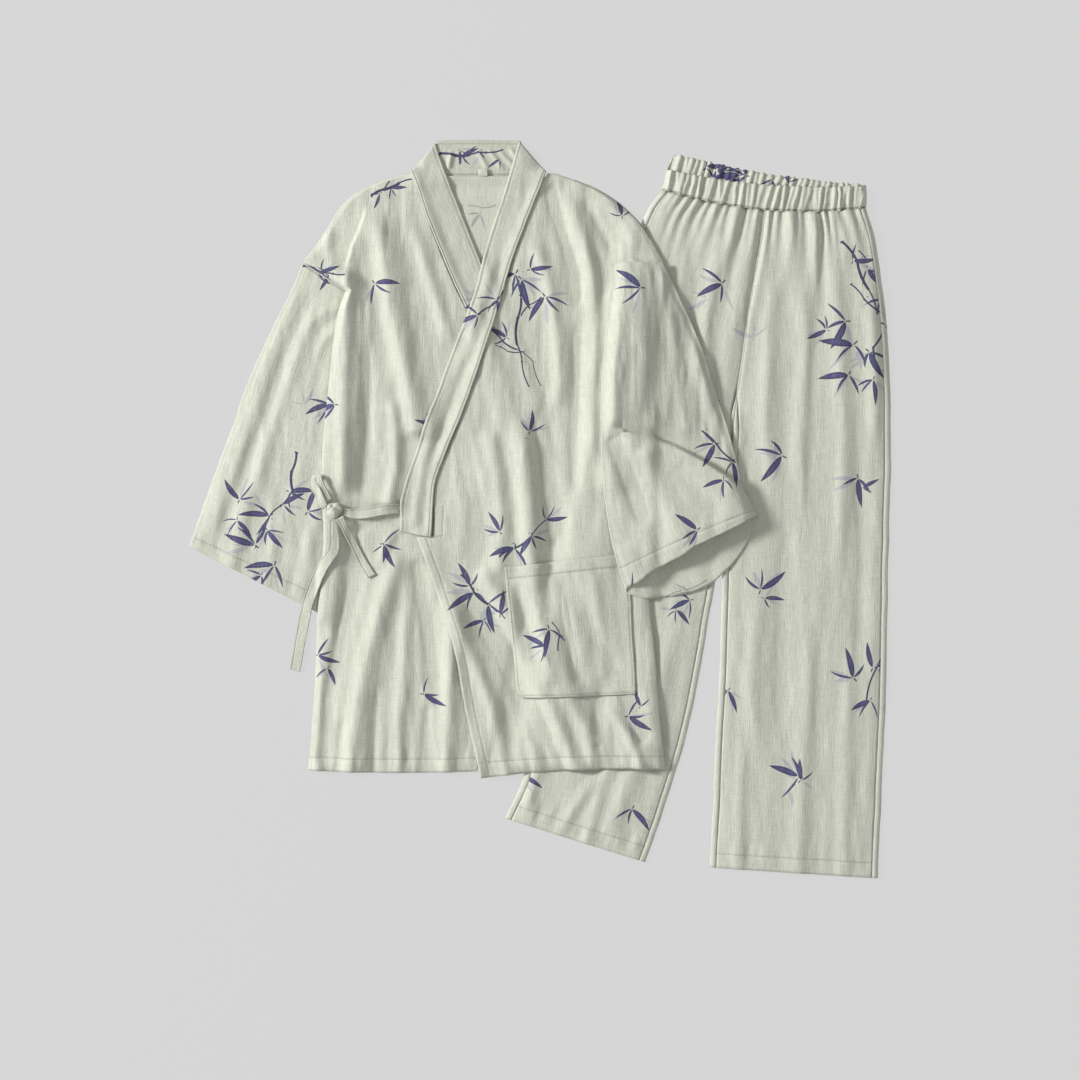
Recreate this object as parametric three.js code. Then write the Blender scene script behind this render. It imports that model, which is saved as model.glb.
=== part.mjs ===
// Jinbei set laid flat: a wrap jacket with a band collar, wide three-quarter
// sleeves, a patch pocket and a side tie, lying over a pair of straight
// elastic-waist trousers. Millimetres, +Z up from the surface, +Y towards the
// necks of both garments, origin at the middle of the footprint.
//
// Every piece of cloth is a closed wall. A piece is a loft through a short
// table of sections: each row gives the left and right end of one section
// across the piece and how far its middle bows along the piece. A piece is laid
// on the pieces under it: its points rise until the wall clears them, and then
// its own folds are added.
import * as THREE from "three";

// Driving sizes
const CLOTH = 1.5; // wall of one layer of cloth
const LIFT = 0.5; // clear height between a layer and what it lies on
const SEAM = 0.6; // gap between two pieces sewn edge to edge, measured along X
const CELL = 2; // pitch of the height grid that the layers are laid on
const REACH = 520; // half width of that grid
const CUFF_ARCH = 21; // rise of the open cuff's upper layer
const TUCK_STEP = 7; // rise of the folded-back lower sleeve over the upper sleeve
const SHOULDER_RISE = 3.2; // how far the left front stands at the armhole seam
const KNOT = { x: -267, y: -0.8, rx: 10.4, ry: 9.6, rz: 3.6 }; // tie knot

const COLOUR = {
  jacket: 0xcfd1c2,
  collar: 0xbbbdae,
  trousers: 0xc0c2b3,
  tie: 0xc6c8b9,
};

// Sections, top to bottom or start to end of each piece
const SECTIONS = {
  trouser_back_left: [
    { lx: 292.1, ly: 385.3, rx: 423.4, ry: 389.2, bow: 0.0 },
    { lx: 286.9, ly: 354.1, rx: 433.8, ry: 354.1, bow: 0.0 },
    { lx: 278.5, ly: 303.4, rx: 442.9, ry: 303.4, bow: 0.0 },
    { lx: 269.4, ly: 251.4, rx: 449.4, ry: 251.4, bow: 0.0 },
    { lx: 264.8, ly: 213.7, rx: 452.0, ry: 213.7, bow: 0.0 },
    { lx: 256.4, ly: 148.7, rx: 455.3, ry: 148.7, bow: 0.0 },
    { lx: 249.2, ly: 90.2, rx: 455.9, ry: 90.2, bow: 0.0 },
    { lx: 242.7, ly: -0.8, rx: 454.0, ry: -0.8, bow: 0.0 },
    { lx: 236.6, ly: -87.9, rx: 452.0, ry: -87.9, bow: 0.0 },
    { lx: 233.6, ly: -189.3, rx: 450.3, ry: -195.8, bow: 0.0 },
    { lx: 228.4, ly: -290.7, rx: 446.8, ry: -299.8, bow: 0.0 },
    { lx: 224.5, ly: -381.7, rx: 442.5, ry: -390.8, bow: 0.0 },
    { lx: 219.8, ly: -464.9, rx: 438.6, ry: -479.2, bow: 0.0 },
  ],
  trouser_front_left: [
    { lx: 292.1, ly: 385.3, rx: 423.4, ry: 389.2, bow: 0.0 },
    { lx: 286.9, ly: 354.1, rx: 433.8, ry: 354.1, bow: 0.0 },
    { lx: 278.5, ly: 303.4, rx: 442.9, ry: 303.4, bow: 0.0 },
    { lx: 269.4, ly: 251.4, rx: 449.4, ry: 251.4, bow: 0.0 },
    { lx: 264.8, ly: 213.7, rx: 452.0, ry: 213.7, bow: 0.0 },
    { lx: 256.4, ly: 148.7, rx: 455.3, ry: 148.7, bow: 0.0 },
    { lx: 249.2, ly: 90.2, rx: 455.9, ry: 90.2, bow: 0.0 },
    { lx: 242.7, ly: -0.8, rx: 454.0, ry: -0.8, bow: 0.0 },
    { lx: 236.6, ly: -87.9, rx: 452.0, ry: -87.9, bow: 0.0 },
    { lx: 233.6, ly: -189.3, rx: 450.3, ry: -195.8, bow: 0.0 },
    { lx: 228.4, ly: -290.7, rx: 446.8, ry: -299.8, bow: 0.0 },
    { lx: 224.5, ly: -381.7, rx: 442.5, ry: -390.8, bow: 0.0 },
    { lx: 219.8, ly: -464.9, rx: 438.6, ry: -479.2, bow: 0.0 },
  ],
  trouser_back_right: [
    { lx: 158.2, ly: 414.6, rx: 290.8, ry: 386.0, bow: 0.0 },
    { lx: 140.0, ly: 391.8, rx: 286.0, ry: 354.1, bow: 0.0 },
    { lx: 121.8, ly: 343.7, rx: 277.6, ry: 303.4, bow: 0.0 },
    { lx: 106.2, ly: 278.7, rx: 268.4, ry: 251.4, bow: 0.0 },
    { lx: 95.8, ly: 226.7, rx: 263.9, ry: 213.7, bow: 0.0 },
    { lx: 80.2, ly: 148.7, rx: 255.5, ry: 148.7, bow: 0.0 },
    { lx: 64.6, ly: 70.7, rx: 255.7, ry: 70.7, bow: 0.0 },
    { lx: 47.7, ly: -20.3, rx: 245.3, ry: -24.2, bow: 0.0 },
    { lx: 33.4, ly: -87.9, rx: 227.8, ry: -91.8, bow: 0.0 },
    { lx: 16.5, ly: -169.8, rx: 212.2, ry: -182.8, bow: 0.0 },
    { lx: -0.4, ly: -247.8, rx: 194.6, ry: -273.8, bow: 0.0 },
    { lx: -21.2, ly: -345.3, rx: 156.9, ry: -401.2, bow: 0.0 },
    { lx: -45.9, ly: -401.2, rx: 136.1, ry: -458.4, bow: 0.0 },
  ],
  trouser_front_right: [
    { lx: 158.2, ly: 414.6, rx: 290.8, ry: 386.0, bow: 0.0 },
    { lx: 140.0, ly: 391.8, rx: 286.0, ry: 354.1, bow: 0.0 },
    { lx: 121.8, ly: 343.7, rx: 277.6, ry: 303.4, bow: 0.0 },
    { lx: 106.2, ly: 278.7, rx: 268.4, ry: 251.4, bow: 0.0 },
    { lx: 95.8, ly: 226.7, rx: 263.9, ry: 213.7, bow: 0.0 },
    { lx: 80.2, ly: 148.7, rx: 255.5, ry: 148.7, bow: 0.0 },
    { lx: 64.6, ly: 70.7, rx: 255.7, ry: 70.7, bow: 0.0 },
    { lx: 47.7, ly: -20.3, rx: 245.3, ry: -24.2, bow: 0.0 },
    { lx: 33.4, ly: -87.9, rx: 227.8, ry: -91.8, bow: 0.0 },
    { lx: 16.5, ly: -169.8, rx: 212.2, ry: -182.8, bow: 0.0 },
    { lx: -0.4, ly: -247.8, rx: 194.6, ry: -273.8, bow: 0.0 },
    { lx: -21.2, ly: -345.3, rx: 156.9, ry: -401.2, bow: 0.0 },
    { lx: -45.9, ly: -401.2, rx: 136.1, ry: -458.4, bow: 0.0 },
  ],
  jacket_back: [
    { lx: -179.8, ly: 432.1, rx: 20.4, ry: 432.1, bow: 0.0 },
    { lx: -225.3, ly: 417.2, rx: 64.6, ry: 417.8, bow: 0.0 },
    { lx: -254.5, ly: 397.7, rx: 101.0, ry: 397.7, bow: 0.0 },
    { lx: -274.7, ly: 368.4, rx: 130.9, ry: 368.4, bow: 0.0 },
    { lx: -296.8, ly: 334.6, rx: 150.4, ry: 337.2, bow: 0.0 },
    { lx: -307.2, ly: 320.3, rx: 158.2, ry: 321.6, bow: 0.0 },
    { lx: -252.6, ly: 283.5, rx: 155.6, ry: 274.8, bow: 0.0 },
    { lx: -261.7, ly: 256.6, rx: 151.7, ry: 252.7, bow: 0.0 },
    { lx: -268.2, ly: 217.6, rx: 147.8, ry: 217.6, bow: 0.0 },
    { lx: -275.3, ly: 152.6, rx: 143.3, ry: 152.6, bow: 0.0 },
    { lx: -279.4, ly: 117.5, rx: 141.3, ry: 117.5, bow: 0.0 },
    { lx: -282.5, ly: 68.1, rx: 140.0, ry: 68.1, bow: 0.0 },
    { lx: -282.9, ly: 30.4, rx: 139.4, ry: 30.4, bow: 0.0 },
    { lx: -281.2, ly: -39.8, rx: 140.0, ry: -39.8, bow: 0.0 },
    { lx: -285.7, ly: -100.9, rx: 141.3, ry: -100.9, bow: 0.0 },
    { lx: -289.8, ly: -156.8, rx: 145.2, ry: -156.8, bow: 0.0 },
    { lx: -292.9, ly: -230.9, rx: 151.7, ry: -230.9, bow: 0.0 },
    { lx: -300.9, ly: -332.3, rx: 160.8, ry: -331.0, bow: 0.0 },
  ],
  front_right: [
    { lx: -177.8, ly: 435.4, rx: -167.0, ry: 436.7, bow: 0.0 },
    { lx: -225.3, ly: 418.7, rx: -160.0, ry: 417.8, bow: 0.0 },
    { lx: -254.5, ly: 399.0, rx: -153.5, ry: 397.0, bow: 0.0 },
    { lx: -274.7, ly: 369.1, rx: -143.4, ry: 368.4, bow: 0.0 },
    { lx: -296.8, ly: 334.6, rx: -129.7, ry: 334.6, bow: 0.0 },
    { lx: -307.8, ly: 320.3, rx: -123.2, ry: 317.7, bow: 0.0 },
    { lx: -252.6, ly: 283.5, rx: -108.3, ry: 283.5, bow: 0.0 },
    { lx: -261.7, ly: 256.6, rx: -95.3, ry: 257.9, bow: 0.0 },
    { lx: -268.2, ly: 217.6, rx: -79.7, ry: 217.6, bow: 0.0 },
    { lx: -275.3, ly: 152.6, rx: -57.6, ry: 152.6, bow: 0.0 },
    { lx: -279.4, ly: 117.5, rx: -45.9, ry: 117.5, bow: 0.0 },
    { lx: -282.5, ly: 68.1, rx: -30.3, ry: 68.1, bow: 0.0 },
    { lx: -283.1, ly: 30.4, rx: -21.2, ry: 30.4, bow: 0.0 },
    { lx: -281.2, ly: -32.0, rx: -17.3, ry: -32.0, bow: 0.0 },
    { lx: -281.8, ly: -55.4, rx: -3.0, ry: -55.4, bow: 0.0 },
    { lx: -285.1, ly: -91.8, rx: -19.9, ry: -91.8, bow: 0.0 },
    { lx: -289.8, ly: -156.8, rx: -42.0, ry: -156.8, bow: 0.0 },
    { lx: -292.9, ly: -230.9, rx: -57.6, ry: -230.9, bow: 0.0 },
    { lx: -302.0, ly: -338.8, rx: -82.3, ry: -340.1, bow: 2.6 },
  ],
  front_left: [
    { lx: 8.2, ly: 436.0, rx: 20.4, ry: 436.0, bow: 0.0 },
    { lx: 1.3, ly: 419.1, rx: 67.2, ry: 419.1, bow: 0.0 },
    { lx: -8.2, ly: 397.0, rx: 103.6, ry: 397.0, bow: 0.0 },
    { lx: -19.9, ly: 365.8, rx: 133.5, ry: 365.8, bow: 0.0 },
    { lx: -30.9, ly: 337.2, rx: 150.4, ry: 337.2, bow: 0.0 },
    { lx: -36.8, ly: 320.3, rx: 159.5, ry: 321.0, bow: 0.0 },
    { lx: -42.0, ly: 303.4, rx: 157.6, ry: 304.7, bow: 0.0 },
    { lx: -50.6, ly: 274.8, rx: 154.3, ry: 272.2, bow: 0.0 },
    { lx: -65.4, ly: 225.4, rx: 148.5, ry: 225.4, bow: 0.0 },
    { lx: -82.9, ly: 173.4, rx: 144.6, ry: 173.4, bow: 0.0 },
    { lx: -94.0, ly: 142.2, rx: 143.0, ry: 142.2, bow: 0.0 },
    { lx: -106.5, ly: 109.7, rx: 141.3, ry: 109.7, bow: 0.0 },
    { lx: -123.9, ly: 68.1, rx: 140.0, ry: 68.1, bow: 0.0 },
    { lx: -136.2, ly: 30.4, rx: 139.4, ry: 30.4, bow: 0.0 },
    { lx: -138.7, ly: -34.6, rx: 140.0, ry: -30.7, bow: 0.0 },
    { lx: -160.3, ly: -36.5, rx: 140.3, ry: -50.2, bow: 0.0 },
    { lx: -148.6, ly: -67.1, rx: 140.8, ry: -72.3, bow: 0.0 },
    { lx: -133.8, ly: -111.3, rx: 142.0, ry: -117.8, bow: 0.0 },
    { lx: -108.9, ly: -193.2, rx: 149.1, ry: -189.3, bow: 0.0 },
    { lx: -99.2, ly: -247.8, rx: 153.7, ry: -247.8, bow: 0.0 },
    { lx: -77.1, ly: -349.2, rx: 162.6, ry: -337.5, bow: -5.2 },
  ],
  collar_back: [
    { lx: -134.3, ly: 478.9, rx: -25.7, ry: 478.9, bow: -0.8 },
    { lx: -142.1, ly: 459.4, rx: -18.6, ry: 459.4, bow: 0.0 },
    { lx: -151.2, ly: 432.9, rx: -8.2, ry: 432.9, bow: 0.0 },
  ],
  collar_right: [
    { lx: -168.3, ly: 438.2, rx: -136.1, ry: 475.0, bow: 0.0 },
    { lx: -160.0, ly: 417.8, rx: -129.1, ry: 452.9, bow: 0.0 },
    { lx: -149.9, ly: 386.6, rx: -116.7, ry: 421.7, bow: 0.0 },
    { lx: -132.6, ly: 342.4, rx: -99.2, ry: 377.5, bow: 0.0 },
    { lx: -112.7, ly: 294.8, rx: -79.7, ry: 328.1, bow: 0.0 },
    { lx: -95.3, ly: 257.9, rx: -62.8, ry: 285.2, bow: 0.0 },
    { lx: -79.7, ly: 217.6, rx: -43.3, ry: 239.7, bow: 0.0 },
    { lx: -57.6, ly: 152.6, rx: -21.2, ry: 170.8, bow: 0.0 },
    { lx: -45.9, ly: 117.5, rx: -8.2, ry: 131.8, bow: 0.0 },
    { lx: -30.3, ly: 68.1, rx: 8.7, ry: 74.6, bow: 0.0 },
    { lx: -21.2, ly: 30.4, rx: 20.4, ry: 33.0, bow: 0.0 },
    { lx: -17.3, ly: -32.0, rx: 25.6, ry: -28.1, bow: 0.0 },
  ],
  collar_left: [
    { lx: -27.8, ly: 478.3, rx: 7.7, ry: 437.8, bow: 0.0 },
    { lx: -36.8, ly: 447.7, rx: 0.9, ry: 419.1, bow: 0.0 },
    { lx: -48.5, ly: 408.7, rx: -8.2, ry: 397.0, bow: 0.0 },
    { lx: -62.8, ly: 364.5, rx: -23.3, ry: 356.7, bow: 0.0 },
    { lx: -72.5, ly: 332.0, rx: -35.5, ry: 324.2, bow: 0.0 },
    { lx: -85.4, ly: 283.9, rx: -50.6, ry: 274.8, bow: 0.0 },
    { lx: -101.8, ly: 237.1, rx: -65.4, ry: 225.4, bow: 0.0 },
    { lx: -118.7, ly: 194.2, rx: -82.9, ry: 173.4, bow: 0.0 },
    { lx: -133.0, ly: 153.9, rx: -94.0, ry: 142.2, bow: 0.0 },
    { lx: -144.0, ly: 126.6, rx: -106.5, ry: 109.7, bow: 0.0 },
    { lx: -160.3, ly: 78.5, rx: -123.9, ry: 68.1, bow: 0.0 },
    { lx: -175.2, ly: 33.0, rx: -136.2, ry: 30.4, bow: 0.0 },
    { lx: -181.7, ly: 3.1, rx: -139.0, ry: 1.8, bow: 0.0 },
    { lx: -182.4, ly: -26.8, rx: -140.0, ry: -32.6, bow: 0.0 },
  ],
  neck_tab: [
    { lx: -80.3, ly: 441.9, rx: -68.0, ry: 441.5, bow: 0.0 },
    { lx: -80.3, ly: 432.4, rx: -68.0, ry: 432.1, bow: 0.0 },
  ],
  pocket: [
    { lx: -46.7, ly: -75.5, rx: 112.1, ry: -57.3, bow: 0.0 },
    { lx: -43.9, ly: -100.9, rx: 115.3, ry: -84.0, bow: 0.0 },
    { lx: -40.7, ly: -137.3, rx: 117.9, ry: -124.3, bow: 0.0 },
    { lx: -36.1, ly: -176.3, rx: 120.2, ry: -169.8, bow: 0.0 },
    { lx: -32.9, ly: -208.8, rx: 122.6, ry: -206.2, bow: 0.0 },
    { lx: -30.6, ly: -232.2, rx: 123.5, ry: -229.6, bow: 0.0 },
    { lx: -23.1, ly: -245.2, rx: 123.6, ry: -239.6, bow: 0.0 },
  ],
  sleeve_right: [
    { lx: -308.6, ly: 319.0, rx: -226.6, ry: 265.7, bow: 0.0 },
    { lx: -329.3, ly: 272.2, rx: -231.8, ry: 226.7, bow: 0.0 },
    { lx: -356.6, ly: 217.6, rx: -238.3, ry: 174.7, bow: 0.0 },
    { lx: -378.7, ly: 168.2, rx: -244.8, ry: 122.7, bow: 0.0 },
    { lx: -397.5, ly: 113.6, rx: -252.6, ry: 64.2, bow: 0.0 },
    { lx: -419.0, ly: 57.7, rx: -261.7, ry: 5.7, bow: 0.0 },
    { lx: -441.1, ly: -4.7, rx: -274.7, ry: -65.8, bow: 0.0 },
    { lx: -455.9, ly: -48.2, rx: -287.7, ry: -134.7, bow: 0.0 },
  ],
  sleeve_left_bottom: [
    { lx: 97.1, ly: 319.0, rx: 158.2, ry: 319.0, bow: 0.0 },
    { lx: 89.3, ly: 272.2, rx: 181.6, ry: 272.2, bow: 0.0 },
    { lx: 82.8, ly: 213.7, rx: 206.3, ry: 216.3, bow: 0.0 },
    { lx: 78.9, ly: 161.7, rx: 224.5, ry: 161.7, bow: 0.0 },
    { lx: 77.6, ly: 114.9, rx: 240.1, ry: 114.9, bow: 0.0 },
    { lx: 78.3, ly: 77.2, rx: 250.5, ry: 79.8, bow: 0.0 },
    { lx: 80.2, ly: 38.2, rx: 257.0, ry: 51.2, bow: 2.6 },
    { lx: 85.4, ly: -3.4, rx: 263.5, ry: 29.1, bow: 7.8 },
    { lx: 91.9, ly: -39.8, rx: 271.3, ry: 13.5, bow: 16.9 },
    { lx: 99.7, ly: -74.9, rx: 277.8, ry: 0.5, bow: 31.2 },
    { lx: 111.4, ly: -110.0, rx: 282.4, ry: -11.2, bow: 42.9 },
  ],
  sleeve_left_top: [
    { lx: 97.1, ly: 319.0, rx: 158.2, ry: 319.0, bow: 0.0 },
    { lx: 89.3, ly: 272.2, rx: 181.6, ry: 272.2, bow: 0.0 },
    { lx: 82.8, ly: 213.7, rx: 206.3, ry: 216.3, bow: 0.0 },
    { lx: 78.9, ly: 161.7, rx: 224.5, ry: 161.7, bow: 0.0 },
    { lx: 77.6, ly: 114.9, rx: 240.1, ry: 114.9, bow: 0.0 },
    { lx: 78.3, ly: 77.2, rx: 250.5, ry: 79.8, bow: 0.0 },
    { lx: 80.2, ly: 38.2, rx: 257.0, ry: 51.2, bow: 0.0 },
    { lx: 85.4, ly: -3.4, rx: 263.5, ry: 29.1, bow: 0.0 },
    { lx: 91.9, ly: -39.8, rx: 271.3, ry: 13.5, bow: -1.3 },
    { lx: 99.7, ly: -74.9, rx: 277.8, ry: 0.5, bow: -2.6 },
    { lx: 110.1, ly: -103.5, rx: 281.1, ry: -7.9, bow: -3.9 },
  ],
  waistband_back: [
    { lx: 174.1, ly: 461.4, rx: 423.4, ry: 421.1, bow: 5.9 },
    { lx: 167.3, ly: 439.9, rx: 424.1, ry: 406.8, bow: 10.4 },
    { lx: 158.2, ly: 415.7, rx: 423.4, ry: 391.8, bow: 15.0 },
  ],
  waistband_front: [
    { lx: 163.4, ly: 441.2, rx: 423.4, ry: 419.8, bow: 9.1 },
    { lx: 160.8, ly: 428.2, rx: 424.1, ry: 406.1, bow: 12.3 },
    { lx: 158.2, ly: 415.7, rx: 423.4, ry: 391.8, bow: 15.0 },
  ],
  tie_strap: [
    { lx: -182.9, ly: 7.0, rx: -182.9, ry: -5.3, bow: 0.0 },
    { lx: -204.5, ly: 5.1, rx: -203.2, ry: -7.5, bow: 0.0 },
    { lx: -230.5, ly: 0.5, rx: -229.8, ry: -12.1, bow: 0.0 },
    { lx: -247.4, ly: 0.5, rx: -246.7, ry: -10.9, bow: 0.0 },
    { lx: -255.2, ly: 1.8, rx: -255.2, ry: -7.3, bow: 0.0 },
  ],
  tie_loop: [
    { lx: -281.2, ly: -0.8, rx: -275.2, ry: 5.7, bow: 0.0 },
    { lx: -292.2, ly: 18.7, rx: -283.1, ry: 23.9, bow: 0.0 },
    { lx: -299.4, ly: 34.3, rx: -290.0, ry: 37.6, bow: 0.0 },
    { lx: -298.1, ly: 42.8, rx: -290.3, ry: 40.6, bow: 0.0 },
    { lx: -291.6, ly: 47.8, rx: -289.2, ry: 41.6, bow: 0.0 },
    { lx: -283.8, ly: 44.7, rx: -287.4, ry: 40.3, bow: 0.0 },
    { lx: -280.5, ly: 34.3, rx: -284.4, ry: 32.4, bow: 0.0 },
    { lx: -275.3, ly: 23.3, rx: -279.1, ry: 21.1, bow: 0.0 },
    { lx: -270.8, ly: 12.7, rx: -274.7, ry: 10.7, bow: 0.0 },
  ],
  tie_tail_short: [
    { lx: -263.6, ly: -13.3, rx: -255.2, ry: -8.6, bow: 0.0 },
    { lx: -250.0, ly: -39.8, rx: -241.5, ry: -35.9, bow: 0.0 },
    { lx: -234.4, ly: -70.3, rx: -225.0, ry: -66.4, bow: 0.0 },
    { lx: -224.0, ly: -89.2, rx: -214.2, ry: -84.6, bow: 0.0 },
  ],
  tie_tail_long: [
    { lx: -272.7, ly: -14.4, rx: -263.0, ry: -16.8, bow: 0.0 },
    { lx: -272.1, ly: -43.7, rx: -259.7, ry: -48.9, bow: 0.0 },
    { lx: -290.3, ly: -73.6, rx: -277.3, ry: -80.1, bow: 0.0 },
    { lx: -303.3, ly: -104.8, rx: -290.3, ry: -110.0, bow: 0.0 },
    { lx: -313.7, ly: -143.1, rx: -300.0, ry: -147.0, bow: 0.0 },
    { lx: -325.4, ly: -207.5, rx: -312.1, ry: -211.4, bow: 0.0 },
  ],
};

// Soft ridges of each piece: from (x0, y0) to (x1, y1), half width w, height h
const FOLDS = {
  front_right: [
    { x0: -262, y0: 380, x1: -272, y1: 20, w: 15, h: 3 },
    { x0: -200, y0: 160, x1: -190, y1: -40, w: 17, h: 3.4 },
    { x0: -205, y0: -70, x1: -178, y1: -300, w: 18, h: 3 },
  ],
  front_left: [
    { x0: 22, y0: 390, x1: 62, y1: 260, w: 16, h: 3.5 },
    { x0: 45, y0: 230, x1: 72, y1: 40, w: 20, h: 4 },
    { x0: -20, y0: 105, x1: -12, y1: -60, w: 17, h: 4 },
    { x0: -75, y0: -90, x1: -30, y1: -320, w: 18, h: 3 },
    { x0: 20, y0: -250, x1: 50, y1: -320, w: 22, h: 3 },
    { x0: 105, y0: -250, x1: 125, y1: -330, w: 18, h: 2.5 },
  ],
  sleeve_right: [
    { x0: -338, y0: 235, x1: -410, y1: -10, w: 17, h: 4 },
    { x0: -285, y0: 220, x1: -325, y1: -60, w: 18, h: 4 },
  ],
  sleeve_left: [
    { x0: 118, y0: 290, x1: 104, y1: 130, w: 13, h: 4 },
    { x0: 165, y0: 290, x1: 205, y1: 120, w: 15, h: 4.5 },
    { x0: 125, y0: 60, x1: 150, y1: -60, w: 18, h: 4 },
    { x0: 195, y0: 60, x1: 215, y1: -30, w: 18, h: 4 },
  ],
  trouser_front_left: [
    { x0: 312, y0: 380, x1: 305, y1: 300, w: 11, h: 3 },
    { x0: 345, y0: 380, x1: 350, y1: 290, w: 11, h: 3 },
    { x0: 385, y0: 380, x1: 395, y1: 300, w: 11, h: 3 },
    { x0: 290, y0: 210, x1: 262, y1: -120, w: 18, h: 3 },
    { x0: 348, y0: 240, x1: 338, y1: -420, w: 24, h: 3.2 },
    { x0: 410, y0: 240, x1: 400, y1: -420, w: 18, h: 2.6 },
  ],
  trouser_front_right: [
    { x0: 185, y0: 385, x1: 165, y1: 300, w: 11, h: 3 },
    { x0: 225, y0: 380, x1: 205, y1: 290, w: 11, h: 3 },
    { x0: 262, y0: 370, x1: 250, y1: 280, w: 11, h: 3 },
    { x0: 175, y0: 230, x1: 90, y1: -380, w: 24, h: 3 },
  ],
  trouser_back_left: [],
  trouser_back_right: [],
  jacket_back: [],
};

// ---- sections to grids ----------------------------------------------------
const lerp = (a, b, t) => a + (b - a) * t;
const clamp01 = (t) => Math.min(1, Math.max(0, t));

// X of an edge polyline at a given Y. side is "l" or "r".
function edgeX(rows, side, y) {
  for (let k = 1; k < rows.length; k++) {
    const ya = rows[k - 1][side + "y"],
      yb = rows[k][side + "y"];
    if (y <= ya && y >= yb)
      return lerp(rows[k - 1][side + "x"], rows[k][side + "x"], ya === yb ? 0 : (ya - y) / (ya - yb));
  }
  return null;
}

// Edge of one piece moved onto the edge of the piece it is sewn to.
function sewn(rows, side, other, otherSide, gap) {
  return rows.map((row) => {
    const x = edgeX(other, otherSide, row[side + "y"]);
    return x === null ? row : { ...row, [side + "x"]: x + gap };
  });
}

// Grid of plan points, with all table rows kept and long steps divided.
function grid(rows, { step, columns, top, divide }) {
  const out = [];
  const point = (row, u) => {
    const dx = row.rx - row.lx,
      dy = row.ry - row.ly,
      len = Math.hypot(dx, dy) || 1,
      b = row.bow * 4 * u * (1 - u);
    return { x: row.lx + dx * u + (dy / len) * b, y: row.ly + dy * u - (dx / len) * b, z: 0 };
  };
  rows.forEach((row, k) => {
    if (k === 0) {
      out.push(row);
      return;
    }
    const a = rows[k - 1],
      len = Math.max(Math.hypot(row.lx - a.lx, row.ly - a.ly), Math.hypot(row.rx - a.rx, row.ry - a.ry)),
      n = divide ? divide[k - 1] : Math.max(1, Math.round(len / step));
    for (let s = 1; s <= n; s++) {
      const t = s / n;
      out.push({
        lx: lerp(a.lx, row.lx, t),
        ly: lerp(a.ly, row.ly, t),
        rx: lerp(a.rx, row.rx, t),
        ry: lerp(a.ry, row.ry, t),
        bow: lerp(a.bow, row.bow, t),
      });
    }
  });
  const made = out.map((row) => Array.from({ length: columns + 1 }, (_, i) => point(row, i / columns)));
  if (top) for (const p of made[0]) p.y = top(p.x) - SEAM;
  return made;
}

// ---- laying one layer on others -------------------------------------------
const SIDE = Math.ceil((2 * REACH) / CELL);
const tops = {}; // piece name to its upper surface on the height grid
const cellAt = (v) => Math.floor((v + REACH) / CELL);
const centre = (k) => (k + 0.5) * CELL - REACH;

// Calls visit(cell index, x, y, weights) for each cell centre in a triangle.
function cellsIn(a, b, c, visit) {
  const area = (b.x - a.x) * (c.y - a.y) - (c.x - a.x) * (b.y - a.y);
  if (Math.abs(area) < 1e-9) return;
  const i0 = Math.max(0, cellAt(Math.min(a.x, b.x, c.x))),
    i1 = Math.min(SIDE - 1, cellAt(Math.max(a.x, b.x, c.x))),
    j0 = Math.max(0, cellAt(Math.min(a.y, b.y, c.y))),
    j1 = Math.min(SIDE - 1, cellAt(Math.max(a.y, b.y, c.y)));
  for (let j = j0; j <= j1; j++)
    for (let i = i0; i <= i1; i++) {
      const x = centre(i),
        y = centre(j),
        wb = ((x - a.x) * (c.y - a.y) - (c.x - a.x) * (y - a.y)) / area,
        wc = ((b.x - a.x) * (y - a.y) - (x - a.x) * (b.y - a.y)) / area,
        wa = 1 - wb - wc;
      if (wa >= -0.02 && wb >= -0.02 && wc >= -0.02) visit(j * SIDE + i, x, y, [wa, wb, wc]);
    }
}

function eachTriangle(g, visit) {
  for (let j = 0; j + 1 < g.length; j++)
    for (let i = 0; i + 1 < g[j].length; i++) {
      visit(g[j][i], g[j + 1][i], g[j + 1][i + 1]);
      visit(g[j][i], g[j + 1][i + 1], g[j][i + 1]);
    }
}

function recordTop(name, g, thick) {
  const h = tops[name] || (tops[name] = new Float32Array(SIDE * SIDE).fill(-1));
  eachTriangle(g, (a, b, c) =>
    cellsIn(a, b, c, (cell, x, y, w) => {
      const z = a.z * w[0] + b.z * w[1] + c.z * w[2] + thick;
      if (z > h[cell]) h[cell] = z;
    }),
  );
}

// Highest surface under a piece, spread by one cell so that edges are cleared.
function supportOf(over) {
  const raw = new Float32Array(SIDE * SIDE);
  for (const entry of over) {
    const name = Array.isArray(entry) ? entry[0] : entry,
      counts = Array.isArray(entry) ? entry[1] : null,
      h = tops[name];
    for (let k = 0; k < raw.length; k++)
      if (h[k] > raw[k] && (!counts || counts(centre(k % SIDE), centre(Math.floor(k / SIDE))))) raw[k] = h[k];
  }
  const wide = new Float32Array(raw);
  for (let j = 1; j < SIDE - 1; j++)
    for (let i = 1; i < SIDE - 1; i++) {
      let m = 0;
      for (let q = -1; q <= 1; q++)
        for (let p = -1; p <= 1; p++) m = Math.max(m, raw[(j + q) * SIDE + i + p]);
      wide[j * SIDE + i] = m;
    }
  return wide;
}

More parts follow.
